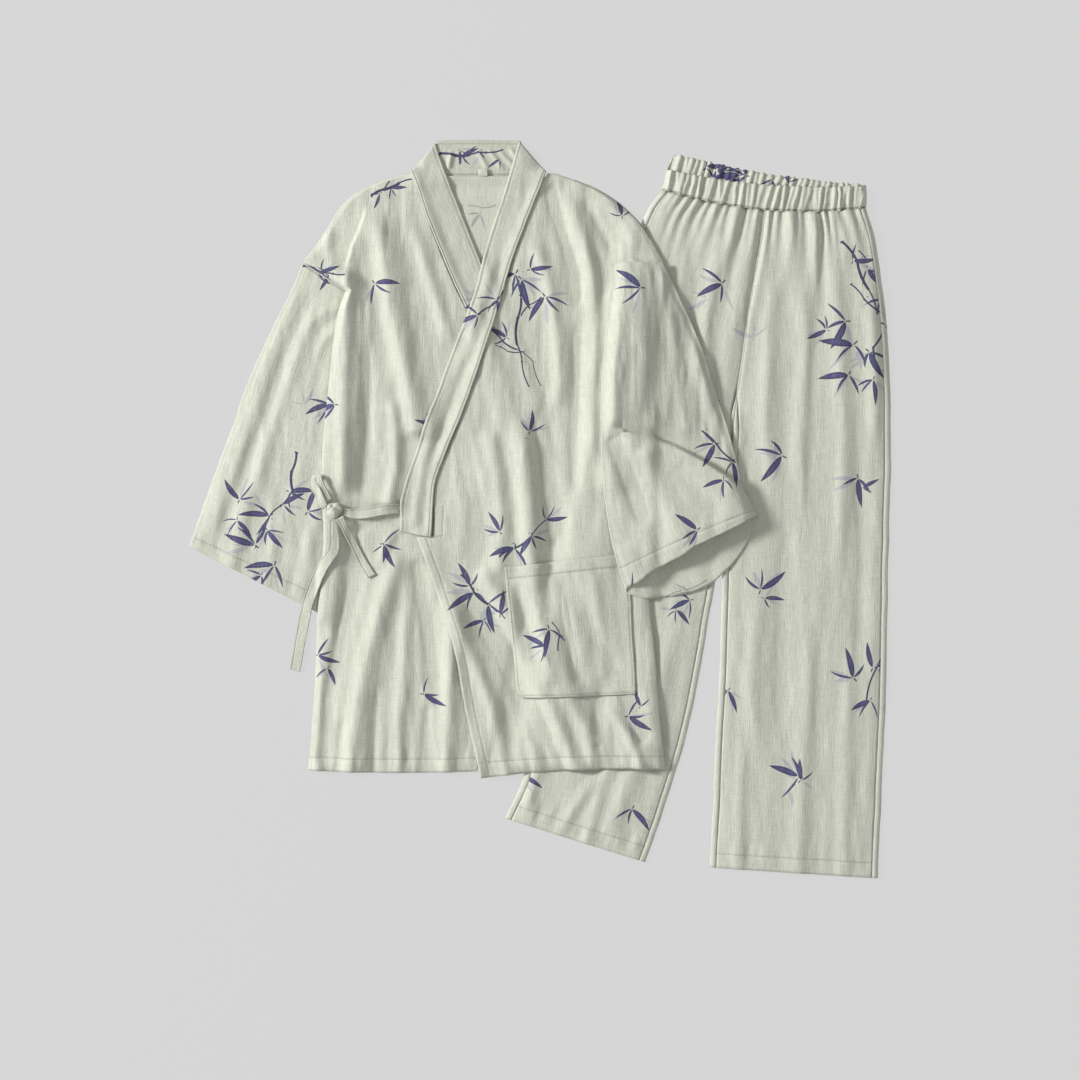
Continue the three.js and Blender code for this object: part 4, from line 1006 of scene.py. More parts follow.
def gathers(G, seed, reach=230.0, amp=6.6, pitch=12.0):
    """Uneven pleats running down from an elastic seam and dying away."""
    x = G.X - 0.16 * (G.d0) * 0
    total = np.zeros(G.Z.shape)
    g = np.random.default_rng(seed)
    c = x.min() + 4
    while c < G.P[0, :, 0].max() - 2:
        w = g.uniform(2.6, 5.2)
        ln = reach * g.uniform(0.28, 1.0) * (1.6 if g.random() < 0.22 else 1.0)
        h = amp * g.uniform(0.55, 1.15)
        u0 = (c - G.P[0, 0, 0]) / max(1, G.P[0, -1, 0] - G.P[0, 0, 0])
        centre = G.P[:, 0, 0] + u0 * (G.P[:, -1, 0] - G.P[:, 0, 0])
        drift = g.uniform(-0.04, 0.04) * G.s
        grow = 1 + G.d0 / 55
        total += h * np.exp(-(((G.X - (centre + drift)[:, None]) / (w * grow)) ** 2)) * (1 - smooth(G.d0 / ln))
        c += pitch * g.uniform(0.5, 1.15)
    c = x.min() + 2
    while c < G.P[0, :, 0].max() - 2:
        u0 = (c - G.P[0, 0, 0]) / max(1, G.P[0, -1, 0] - G.P[0, 0, 0])
        centre = G.P[:, 0, 0] + u0 * (G.P[:, -1, 0] - G.P[:, 0, 0])
        total += g.uniform(0.8, 1.9) * np.exp(-(((G.X - centre[:, None]) / 2.0) ** 2)) * (1 - smooth(G.d0 / g.uniform(14, 42)))
        c += g.uniform(4.5, 9.5)
    # the cloth dips where the elastic's seam holds it
    return total - 1.6 * np.exp(-((G.d0 / 4.5) ** 2))


def leg(side, front_rows, folds, seed, print_, over, mask, angle):
    wrap = 8.5  # the back panel comes round to the front by this much
    G = Grid(front_rows, 3.0, 4.2, seed=seed)
    hang_from_waist(G)
    B = Grid(front_rows, 5.0, 7.0, seed=seed)
    hang_from_waist(B)
    base = sample(support(over, 3, mask), G.P) if over else np.zeros(G.Z.shape)
    baseB = sample(support(over, 3, mask), B.P) if over else np.zeros(B.Z.shape)
    joined = 1 - smooth((G.d0 - 190) / 90)  # above the crotch the legs are sewn to each other
    inner = rim(G, ("dl",), 19.0) if side == "right" else 1 - (1 - rim(G, ("dl",), 19.0)) * (1 - joined)
    inner = inner * (rim(G, ("dr",), 19.0) if side == "left" else 1 - (1 - rim(G, ("dr",), 19.0)) * (1 - joined))
    top = base + (LIFT if over else 0) + CLOTH * 2 + LIFT + 0.3 + drape(ridge(G, folds) + crumple(G, 1.1, seed, 13, 60, angle), inner)
    top += gathers(G, seed) * rim(G, ("dl", "dr"), 6)
    top += hem(G, "d1", 19.0, seed + 2, 10, 1.0, 0.5)
    top += roll(G, "dl", 2.4, 0.35) * (1 if side == "right" else 1 - joined) + roll(G, "dr", 2.4, 0.35) * (1 if side == "left" else 1 - joined)
    # front panel: cut back where the back panel wraps round
    body = (G.dr >= 0)
    G.Z = top
    low = baseB + (LIFT if over else 0) + CLOTH
    record(f"leg_{side}", G.P, G.Z)
    return G, B, low


def zip_front_back(side, G, B, low, seed, strokes, stitch, names, angle, from_l, from_r):
    """The front panel, and the back panel that comes round its sides by a little from the given levels down."""
    C = len(G.u)
    jj = np.arange(len(G.s))
    V3 = np.concatenate([G.P, G.Z[..., None]], -1)
    gu = G.uv(angle)
    wl = 8.5 * (smooth((G.s - from_l) / 60) if from_l > 0 else np.ones(len(G.s)))
    wr = 8.5 * (smooth((G.s - from_r) / 60) if from_r > 0 else np.ones(len(G.s)))
    a, b = (wl / G.width)[:, None], (wr / G.width)[:, None]
    k = (a + G.u[None, :] * (1 - a - b)) * (C - 1)
    i = np.clip(k.astype(int), 0, C - 2)
    f = (k - i)[..., None]
    j = jj[:, None]
    front = surface(names[0], V3[j, i] * (1 - f) + V3[j, i + 1] * f, gu[j, i] * (1 - f) + gu[j, i + 1] * f,
                    [TROUSER, TROUSER_IN], strokes=strokes, seams=stitch)

    def point(inset):
        """The laid surface at a distance from the left side, row by row."""
        kk = np.clip(inset / G.width, 0, 1) * (C - 1)
        ii = np.clip(kk.astype(int), 0, C - 2)
        ff = (kk - ii)[:, None]
        return V3[jj, ii] * (1 - ff) + V3[jj, ii + 1] * ff

    under_l = np.interp(G.s, B.s, low[:, 0]) - CLOTH
    under_r = np.interp(G.s, B.s, low[:, -1]) - CLOTH

    def at(inset, right, lam):
        p = point(G.width - inset if right else inset)
        fl = under_r if right else under_l
        p[:, 2] = fl + (p[:, 2] - fl) * lam
        return p

    cols, grain = [], []
    half = G.width / 2

    def wrapped(share, right):
        w = wr if right else wl
        p = at(np.maximum(w - 0.4, 0.3) * share, right, 1.0)
        q = at(0.3, right, 0.3 + 0.3 * share)
        t = (w / 8.5)[:, None]
        cols.append(q + (p - q) * t)
        grain.append(np.stack([(half + w * share) * (1 if right else -1), G.s], -1))

    for share in (1.0, 0.55, 0.22):
        wrapped(share, False)
    cols.append(at(0.0, False, 0.28))
    grain.append(np.stack([-half, G.s], -1))
    for q in np.linspace(0, 1, 26):
        p = point(1.2 + q * (G.width - 2.4))
        kb = q * (len(B.u) - 1)
        ib = int(np.clip(kb, 0, len(B.u) - 2))
        lowcol = low[:, ib] * (1 - (kb - ib)) + low[:, ib + 1] * (kb - ib)
        p[:, 2] = np.interp(G.s, B.s, lowcol) - CLOTH
        cols.append(p)
        grain.append(np.stack([1.2 + q * (G.width - 2.4) - half, G.s], -1))
    cols.append(at(0.0, True, 0.28))
    grain.append(np.stack([half, G.s], -1))
    for share in (0.22, 0.55, 1.0):
        wrapped(share, True)
    V, UV = np.stack(cols, 1)[:, ::-1], np.stack(grain, 1)[:, ::-1]
    pick = np.unique(np.concatenate([np.arange(0, len(V), 2), [len(V) - 1]]))
    back = surface(names[1], V[pick], UV[pick], [TROUSER, TROUSER_IN], strokes=strokes_under(seed))
    return front, back


def strokes_under(seed):
    """A scatter of sprigs for a side that is not seen from above."""
    g = np.random.default_rng(900 + seed)
    made = []
    for k in range(26):
        p = (g.uniform(-450, 450), g.uniform(-470, 430))
        made += spray(p, g.uniform(0, 360), g.uniform(26, 34), 700 + k + seed, leaves=int(g.integers(3, 5)), ink=1.0 if g.random() < 0.7 else 0.35)
    return made


def below(y):
    return lambda X, Y: Y < y


TROUSER_PRINT = (
    # picture-left leg
    spray((236.2, 293.0), 205, 34, 1, 4) + spray((215.4, 272.2), 160, 24, 2, 3, 0.5)
    + spray((119.2, -388.2), 250, 30, 3, 3)
    + spray((-23.8, -345.3), 265, 26, 5, 3, 0.6) + spray((194.6, -117.8), 200, 26, 6, 4) + spray((176.4, -130.8), 260, 22, 7, 3, 0.6)
    + spray((275.2, 222.8), 95, 26, 8, 3, 0.5) + spray((207.6, 116.2), 60, 24, 9, 4)
    # picture-right leg
    + spray((314.2, 69.4), 170, 36, 10, 3) + spray((303.8, 61.6), 110, 24, 11, 2, 0.5)
    + spray((413.0, 40.8), 265, 32, 12, 3) + spray((418.2, 27.8), 350, 20, 13, 2, 0.6)
    + spray((285.6, -104.8), 80, 34, 14, 4) + spray((290.8, -115.2), 330, 22, 15, 2, 0.9)
    + spray((335.0, -346.6), 175, 34, 16, 3) + spray((337.6, -351.8), 60, 26, 17, 2, 1.0) + spray((322.0, -364.8), 260, 20, 18, 2, 0.5)
    + spray((406.5, -219.2), 110, 34, 19, 4) + spray((431.2, -206.2), 70, 30, 20, 2, 0.6)
    + stem([(446.8, -169.8), (436.4, -206.2), (423.4, -247.8)], 2.6) + spray((428.6, -247.8), 250, 26, 21, 3, 0.6)
    + spray((244.0, -234.8), 250, 26, 22, 3, 0.6) + spray((228.4, 142.2), 190, 28, 25, 4)
    # the bamboo branch down the outer side
    + stem([(390.9, 346.3), (410.4, 321.6), (424.7, 285.2), (436.4, 252.7)], 4.2)
    + stem([(445.5, 233.2), (431.2, 209.8), (439.0, 178.6), (453.3, 155.2)], 3.6)
    + stem([(402.6, 291.7), (419.5, 272.2), (449.4, 251.4)], 2.6) + stem([(413.0, 334.6), (423.4, 321.6)], 2.2)
    + spray((396.1, 243.6), 200, 36, 26, 4) + spray((406.5, 213.7), 235, 40, 27, 5) + spray((426.0, 204.6), 300, 34, 28, 4)
    + spray((371.4, 233.2), 150, 26, 29, 3, 0.55) + spray((400.0, 174.7), 250, 34, 30, 4, 0.6) + spray((423.4, 311.2), 300, 28, 31, 3, 0.6)
    + spray((441.6, 272.2), 250, 26, 32, 3, 0.7) + spray((431.2, 168.2), 240, 28, 33, 3, 0.8) + spray((405.2, 321.6), 40, 26, 34, 2)
)

RIGHT_LEG_FOLDS = [
    (2.6, 9, 12, 0.25, 0, [(145.2, 369.7), (119.2, 233.2), (77.6, 51.2), (45.1, -117.8), (6.1, -273.8), (-16.0, -377.8)]),
    (2.2, 10, 10, 0.3, 0.3, [(194.6, 382.7), (171.2, 233.2), (142.6, 77.2)]),
    (2.4, 12, 9, 0.3, 0.3, [(236.2, 369.7), (214.1, 233.2), (207.6, 103.2)]),
    (2.2, 11, 14, 0.3, 0, [(181.6, -117.8), (142.6, -273.8), (90.6, -416.8)]),
    (1.8, 8, 10, 0.3, 0, [(142.6, -169.8), (90.6, -325.8), (58.1, -429.8)]),
    (1.6, 8, 8, 0.3, 0, [(77.6, -338.8), (25.6, -416.8)]),
    (-1.6, 9, 9, 0.4, 0.4, [(262.2, 272.2), (257.0, 142.2)]),
]
LEFT_LEG_FOLDS = [
    (2.6, 10, 14, 0.3, 0.3, [(305.1, 350.2), (296.0, 233.2), (292.1, 103.2), (305.1, -13.8)]),
    (2.2, 12, 9, 0.3, 0.35, [(337.6, 356.7), (345.4, 220.2), (337.6, 77.2), (345.4, -65.8)]),
    (2.4, 10, 13, 0.3, 0.3, [(379.2, 356.7), (392.2, 233.2), (392.2, 51.2), (387.0, -117.8)]),
    (2.0, 9, 9, 0.3, 0.3, [(420.8, 356.7), (431.2, 233.2), (433.8, 38.2)]),
    (1.8, 11, 11, 0.3, 0.3, [(285.6, -65.8), (275.2, -221.8), (283.0, -351.8)]),
    (1.9, 13, 10, 0.3, 0, [(353.2, -117.8), (345.4, -273.8), (337.6, -466.2)]),
    (1.5, 9, 9, 0.3, 0, [(400.0, -169.8), (397.4, -325.8), (392.2, -468.8)]),
    (1.4, 9, 9, 0.4, 0, [(262.2, -247.8), (257.0, -466.2)]),
    (-1.8, 10, 12, 0.3, 0.3, [(322.0, 38.2), (314.2, -169.8), (309.0, -325.8)]),
    (-1.6, 9, 9, 0.3, 0.3, [(413.0, 116.2), (418.2, -65.8), (413.0, -247.8)]),
]

G1, B1, low1 = leg("right", SECTIONS["trouser_front_right"], RIGHT_LEG_FOLDS, 11, None, [], None, 0.0)
ANG_R = math.radians(-14)
seam1 = [(1, row_curve(G1, 20.0))]
fr, br = zip_front_back("right", G1, B1, low1, 11, TROUSER_PRINT, seam1, ("trouser_right_leg_front", "trouser_right_leg_back"), ANG_R, 0.0, 235.0)
rowsL = [tuple(r) for r in SECTIONS["trouser_front_left"]]
G2, B2, low2 = leg("left", rowsL, LEFT_LEG_FOLDS, 12, None, ["leg_right"], below(120), 0.0)
seam2 = [(1, row_curve(G2, 19.0)), (2, side_curve(G2, 0.8, "l", 0, 235))]
fl, bl = zip_front_back("left", G2, B2, low2, 12, TROUSER_PRINT, seam2, ("trouser_left_leg_front", "trouser_left_leg_back"), 0.0, 235.0, 0.0)
declare(fr, ["trouser_front_right"])
declare(br, ["trouser_back_right"])
declare(fl, ["trouser_front_left"])
declare(bl, ["trouser_back_left"])


# ---------------------------------------------------------------- waistband
def ring(top_rows, low_rows, name, du, dv, mats, shape_top, shape_low, fold_r, strokes=(), under=(), seams_of=None, shake=None, **kw):
    """A flat tube: upper layer left to right, round the right fold, lower layer back, round the left fold."""
    G = Grid(top_rows, du, dv, **kw)
    H = Grid(low_rows, du, dv, **kw)
    n = len(G.s)
    if len(H.s) != n:
        H2 = [pchip(H.s, H.P[:, :, k], H.s) if False else None for k in ()]
        t = np.linspace(0, 1, n) * (len(H.s) - 1)
        j = np.clip(t.astype(int), 0, len(H.s) - 2)
        f = (t - j)[:, None]
        c = np.linspace(0, 1, len(G.u)) * (len(H.u) - 1)
        i = np.clip(c.astype(int), 0, len(H.u) - 2)
        g = (c - i)[None, :, None]
        Q = H.P
        H.P = (Q[j][:, i] * (1 - g) + Q[j][:, i + 1] * g) * (1 - f)[..., None] + (Q[j + 1][:, i] * (1 - g) + Q[j + 1][:, i + 1] * g) * f[..., None]
        H.X, H.Y = H.P[..., 0], H.P[..., 1]
        H.s = np.interp(t, np.arange(len(H.s)), H.s)
        H.u = G.u
        H.width = np.hypot(*(H.P[:, -1] - H.P[:, 0]).T)
        H.dl = H.u[None] * H.width[:, None]
        H.dr = (1 - H.u)[None] * H.width[:, None]
        H.d0 = np.repeat(H.s[:, None], len(H.u), 1)
        H.d1 = H.s[-1] - H.d0
        H.Z = np.zeros(H.P.shape[:2])
    elif len(H.u) != len(G.u):
        c = np.linspace(0, 1, len(G.u)) * (len(H.u) - 1)
        i = np.clip(c.astype(int), 0, len(H.u) - 2)
        g = (c - i)[None, :, None]
        H.P = H.P[:, i] * (1 - g) + H.P[:, i + 1] * g
        H.X, H.Y = H.P[..., 0], H.P[..., 1]
        H.u = G.u
        H.dl = H.u[None] * H.width[:, None]
        H.dr = (1 - H.u)[None] * H.width[:, None]
        H.d0 = np.repeat(H.s[:, None], len(H.u), 1)
        H.d1 = H.s[-1] - H.d0
        H.Z = np.zeros(H.P.shape[:2])
    H.Z = shape_low(H)  # underside of the lower layer (its outer face)
    G.Z = shape_top(G, H)  # upper face of the upper layer
    Vt = np.concatenate([G.P, G.Z[..., None]], -1)
    Vl = np.concatenate([H.P, H.Z[..., None]], -1)
    if shake:
        shake(G, H, Vt, Vl)
    e = 2.2
    Vt = Vt.copy()
    cols = [Vt[:, k] for k in range(1, len(G.u) - 1)]
    ug = [np.stack([G.dl[:, k] - G.width / 2, G.s], -1) for k in range(1, len(G.u) - 1)]
    upper = [1] * len(cols)

    def fold(a, b, side):
        out = []
        mid = 0.5 * (a[:, 2] + b[:, 2])
        for lam in (0.86, 0.5, 0.14):
            p = a * lam + b * (1 - lam)
            p[:, 2] = b[:, 2] + (a[:, 2] - b[:, 2]) * (0.5 + 0.5 * math.sin((lam - 0.5) * math.pi))
            out.append(p)
        return out

    for p in fold(Vt[:, -1], Vl[:, -1], 1):
        cols.append(p)
        ug.append(np.stack([G.width / 2, G.s], -1))
        upper.append(0)
    for k in range(len(G.u) - 2, 0, -1):
        cols.append(Vl[:, k])
        ug.append(np.stack([H.dl[:, k] - H.width / 2 + 7.3, H.s], -1))
        upper.append(0)
    for p in fold(Vt[:, 0], Vl[:, 0], 0)[::-1]:
        cols.append(p)
        ug.append(np.stack([-G.width / 2, G.s], -1))
        upper.append(0)
    V = np.stack(cols, 1)
    UV = np.stack(ug, 1)
    up = np.repeat(np.array(upper, float)[None], len(G.s), 0)
    record(name, G.P, G.Z)
    seams = seams_of(G) if seams_of else ()
    ob = surface(name, V, UV, mats, closed=True, strokes=strokes, under_strokes=under, seams=seams, upper=up)
    return ob, G, H


g = np.random.default_rng(77)
band_c = [0.0]
while band_c[-1] < 268:
    band_c.append(band_c[-1] + g.uniform(5.5, 12.0))
band_h = g.uniform(2.2, 5.4, len(band_c))
band_w = g.uniform(1.7, 3.3, len(band_c))
band_s = g.uniform(-0.16, 0.16, len(band_c))


def band_gathers(x, d, flip=1.0):
    z = np.zeros(x.shape)
    for c, h, w, s in zip(band_c, band_h, band_w, band_s):
        z += h * np.exp(-(((x - c - s * d * flip) / w) ** 2))
    return z


def band_low(H):
    shown = 1 - smooth((H.d0 - 17) / 9)
    return 0.3 + (0.9 * band_gathers(H.dl + 1.7, H.d0) + 1.5) * shown * rim(H, ("dl", "dr"), 6)


def band_top(G, H):
    pillow = np.sin(np.clip(G.d0 / np.maximum(G.d0[-1:], 1), 0, 1) * math.pi) ** 0.5
    x = G.dl + 3.5
    gat = band_gathers(x, G.d0)
    edge = rim(G, ("dl", "dr"), 7)
    z = 6.6 + 1.4 * pillow + gat * (0.55 + 0.45 * pillow)
    z = z + noise(G.X / 7, G.Y / 9, 31) * 0.35
    z = z - 1.1 * np.exp(-(((G.d0 - G.S + 2.5) / 2.4) ** 2))
    return 3.2 + (z - 3.2) * edge


def band_shake(G, H, Vt, Vl):
    """Each gather pushes the band's free edges out a little and the next one pulls them in."""
    for V, Q, off, k in ((Vt, G, 3.5, 1.0), (Vl, H, 1.7, 1.0)):
        x = Q.dl + off
        push = band_gathers(x, Q.d0) - 2.0
        edge = np.exp(-Q.d0 / 5.0)
        V[..., 1] += 0.42 * k * push * edge * rim(Q, ("dl", "dr"), 6)
        V[..., 0] += 0.8 * noise(x / 6.0, Q.d0 / 9.0, 37) * rim(Q, ("dl", "dr"), 8)
    Vt[..., 1] -= 0.22 * (band_gathers(G.dl + 3.5, G.d0) - 2.0) * np.exp(-(G.S - G.d0) / 4.0)


def cuff_shake(G, H, Vt, Vl):
    """The hem of a wide cuff waves a little."""
    for V, Q, seed in ((Vt, G, 7), (Vl, H, 8)):
        end = np.exp(-np.maximum(Q.d1, 0) / 14.0) * rim(Q, ("dl", "dr"), 12)
        V[..., 1] += 2.0 * noise(Q.dl / 21.0, Q.dl * 0 + seed, 40 + seed) * end
        V[..., 2] += 1.6 * np.maximum(noise(Q.dl / 24.0, Q.dl * 0 + seed, 50 + seed), -0.2) * end


WAIST_PRINT = spray((215.4, 443.8), 20, 34, 41, 3) + spray((238.8, 438.6), 60, 30, 45, 3) + spray((228.4, 441.2), 330, 34, 46, 3) + spray((267.4, 433.4), 150, 30, 47, 3) + spray((259.6, 433.4), 200, 30, 42, 2) + spray((301.2, 428.2), 250, 26, 43, 2) + spray((322.0, 423.0), 60, 20, 44, 2)
# the band's back edge shows behind its front edge
fb = [list(r) for r in SECTIONS["waistband_front"]]
bb = [list(r) for r in SECTIONS["waistband_back"]]
wb, GW, HW = ring(fb, bb, "waistband_tube", 1.5, 2.2, [TROUSER], band_top, band_low, 2.0,
    strokes=(), under=WAIST_PRINT, shake=band_shake,
    seams_of=lambda G: [(2, row_curve(G, 1.0))], wobble=0.3, seed=3)
# scalloped edges: each gather lifts the band's rim a little
declare(wb, ["waistband"])


# ---------------------------------------------------------------- jacket: right sleeve (lies under the body)
def sleeve_low(H):
    return 0.3 + np.maximum(crumple(H, 0.5, 91, 20, 60) * rim(H, ("dl", "dr", "d1"), 12), -0.25)


SR_FOLDS = [
    (3.0, 12, 10, 0.15, 0, [(-283.8, 282.6), (-312.4, 213.7), (-341.0, 129.2), (-374.8, 25.2), (-406.0, -91.8)]),
    (-2.6, 9, 10, 0.1, 0.1, [(-289.0, 291.7), (-316.3, 233.2), (-342.3, 161.7), (-365.7, 90.2), (-386.5, 12.2)]),
    (2.2, 10, 12, 0.2, 0, [(-263.0, 259.2), (-279.9, 181.2), (-305.9, 90.2), (-334.5, -13.8), (-361.8, -104.8)]),
    (-1.6, 8, 9, 0.2, 0.2, [(-270.8, 233.2), (-292.9, 142.2), (-318.9, 51.2), (-348.8, -39.8)]),
    (2.0, 10, 9, 0.2, 0.1, [(-322.8, 259.2), (-351.4, 181.2), (-382.6, 90.2), (-416.4, -0.8), (-438.5, -55.4)]),
    (1.8, 9, 10, 0.3, 0, [(-253.9, 194.2), (-266.9, 103.2), (-289.0, -0.8), (-312.4, -104.8)]),
    (-1.4, 8, 8, 0.3, 0.2, [(-361.8, 116.2), (-390.4, 38.2), (-413.8, -39.8)]),
    (1.3, 5, 6, 0.2, 0.4, [(-253.9, 265.7), (-279.9, 256.6), (-305.9, 233.2)]),
    (1.3, 5, 6, 0.2, 0.4, [(-260.4, 239.7), (-279.9, 220.2), (-294.2, 187.7)]),
    (-1.2, 5, 5, 0.2, 0.4, [(-255.2, 252.7), (-276.0, 241.0), (-296.8, 217.6)]),
]


def sleeve_top(G, H):
    edge = rim(G, ("dl", "dr"), 11)
    z = 0.3 + 2 * CLOTH + LIFT + 0.8 + drape(0.62 * ridge(G, SR_FOLDS) + crumple(G, 1.3, 21, 12, 50), edge)
    z = z + hem(G, "d1", 17, 23, 12, 0.8, 0.4)
    return z


ARM_R = stem([(-308.5, 316.4), (-294.2, 312.5), (-281.2, 306.0), (-268.2, 304.7), (-252.6, 303.4)], 4.4) + stem([(-294.2, 312.5), (-283.8, 299.5), (-273.4, 293.0)], 2.2) + spray((-283.8, 307.3), 20, 22, 51, 3, 0.7) + spray((-273.4, 304.7), 200, 20, 50, 3, 0.6)
SR_PRINT = (
    ARM_R + stem([(-316.3, 73.3), (-322.8, 48.6), (-321.5, 25.2), (-337.1, 4.4), (-351.4, -8.6), (-361.8, -26.8), (-369.6, -50.2)], 4.2) + spray((-325.4, 22.6), 320, 28, 171, 3, 0.6) + spray((-351.4, -8.6), 190, 34, 172, 3) + spray((-333.2, 5.7), 350, 26, 173, 2) + spray((-354.0, -26.8), 300, 26, 174, 3, 0.6) + spray((-390.4, 12.2), 60, 30, 52, 4)
    + spray((-369.6, -46.3), 120, 36, 53, 4) + spray((-344.9, -72.3), 250, 34, 54, 3) + spray((-302.0, -3.4), 30, 30, 55, 4)
    + spray((-273.4, 135.7), 200, 30, 56, 3) + spray((-305.9, 135.7), 100, 22, 57, 3, 0.5) + spray((-361.8, -85.3), 220, 26, 58, 3)
    + spray((-393.0, -13.8), 250, 26, 59, 3, 0.7)
)
srt = [list(r) for r in SECTIONS["sleeve_right"]]
for r in srt[2:]:
    r[2] += 0.0
sr, GSR, HSR = ring(srt, srt, "jacket_sleeve_right", 3.0, 3.8, [JACKET, JACKET_IN_PAINTED_LIGHTER], sleeve_top, sleeve_low, 2.0,
    strokes=SR_PRINT, under=strokes_under(3), seams_of=lambda G: [(1, row_curve(G, 17.5))], seed=4)
declare(sr, ["sleeve_right"])

# ---------------------------------------------------------------- jacket: back of the collar, back, neck
def slab(name, rows, du, dv, mats, base, form, strokes=(), under=(), seams=None, thick=CLOTH, angle=None, sharp=(), seed=1, extra=None, wobble=0.5):
    G = Grid(rows, du, dv, sharp=sharp, seed=seed, wobble=wobble)
    if extra:
        extra(G)
    G.Z = base(G) + thick + form(G)
    record(name, G.P, G.Z)
    V = np.concatenate([G.P, G.Z[..., None]], -1)
    ob = surface(name, V, G.uv(angle), mats, thick=thick, strokes=strokes, under_strokes=under, seams=seams(G) if seams else ())
    return ob, G


legs = ["leg_right", "leg_left"]


def fan(G):
    z = np.zeros(G.Z.shape)
    for k, (a, b) in enumerate((((-56.3, 468.5), (-30.3, 439.9)), ((-69.3, 469.8), (-45.9, 438.6)), ((-82.3, 467.2), (-66.7, 438.6)), ((-42.0, 471.1), (-18.6, 441.2)), ((-114.8, 467.2), (-120.0, 438.6)))):
        z += ridge(G, [(1.1 + 0.2 * k, 2.8, 3.2, 0.25, 0.25, [a, b])])
    return z


cb, GCB = slab("collar_back_band", SECTIONS["collar_back"], 2.0, 2.0, [COLLAR], lambda G: 0.3 + 0 * G.Z,
    lambda G: 1.2 + fan(G) + roll(G, "d0", 3.5, 1.2) + crumple(G, 0.35, 5, 9, 12), thick=1.9,
    strokes=stem([(-130.4, 462.0), (-109.6, 459.4), (-91.4, 460.7), (-70.6, 463.3), (-48.5, 467.2)], 4.4) + stem([(-96.6, 460.7), (-83.6, 471.1)], 2.0) + spray((-101.8, 459.4), 320, 20, 175, 3) + spray((-78.4, 462.0), 200, 20, 176, 3, 0.5) + stem([(-81.0, 464.6), (-73.2, 456.8)], 2.4) + spray((-104.4, 465.9), 290, 16, 62, 2) + spray((-52.4, 454.2), 250, 16, 63, 2, 0.6),
    seams=lambda G: [(2, row_curve(G, 2.2)), (1, row_curve(G, 5.0, "d0"))], seed=6, wobble=0.3)
declare(cb, ["collar_back"])


def armhole_mask(X, Y):
    return (Y < 295).astype(float)


def back_base(G):
    S = support(["jacket_sleeve_right", "leg_right", "leg_left", "waistband_tube", "collar_back_band"], 4)
    return sample(S, G.P) + LIFT


JB_FOLDS = [
    (1.2, 6, 10, 0.1, 0.2, [(-156.4, 412.6), (-117.4, 402.2), (-52.4, 399.6), (-0.4, 415.2)]),
    (1.6, 10, 12, 0.2, 0.2, [(-91.4, 389.2), (-78.4, 272.2), (-91.4, 142.2), (-78.4, -65.8)]),
    (1.6, 12, 10, 0.2, 0.0, [(25.6, 363.2), (45.1, 142.2), (38.6, -117.8), (58.1, -325.8)]),
    (1.5, 10, 12, 0.2, 0.0, [(-195.4, 246.2), (-208.4, 38.2), (-218.8, -169.8), (-234.4, -331.0)]),
]
jb, GJB = slab("jacket_back_panel", SECTIONS["jacket_back"], 5.0, 6.0, [JACKET_IN_PAINTED_LIGHTER, JACKET], back_base,
    lambda G: (ridge(G, JB_FOLDS) * 0.6 + crumple(G, 0.5, 33, 16, 60)) * rim(G, ("dl", "dr", "d0"), 12) + 0.3,
    strokes=stem([(-94.0, 394.4), (-75.8, 391.8), (-57.6, 395.7)], 2.0, 0.7) + spray((-78.4, 384.0), 250, 20, 64, 3, 0.6) + spray((-56.3, 381.4), 300, 18, 65, 2, 0.6) + spray((-100.5, 395.7), 200, 18, 66, 2, 0.5),
    under=strokes_under(5), angle=0.0, seams=lambda G: [(1, row_curve(G, 18.0))], sharp=(5, 6), seed=7)
declare(jb, ["jacket_back"])

nt, GNT = slab("neck_label_tab", SECTIONS["neck_tab"], 1.5, 1.5, [COLLAR],
    lambda G: sample(support(["jacket_back_panel", "collar_back_band"], 2), G.P) + 0.3, lambda G: 0 * G.Z, thick=1.0, seed=8, wobble=0.1)
declare(nt, ["neck_tab"])

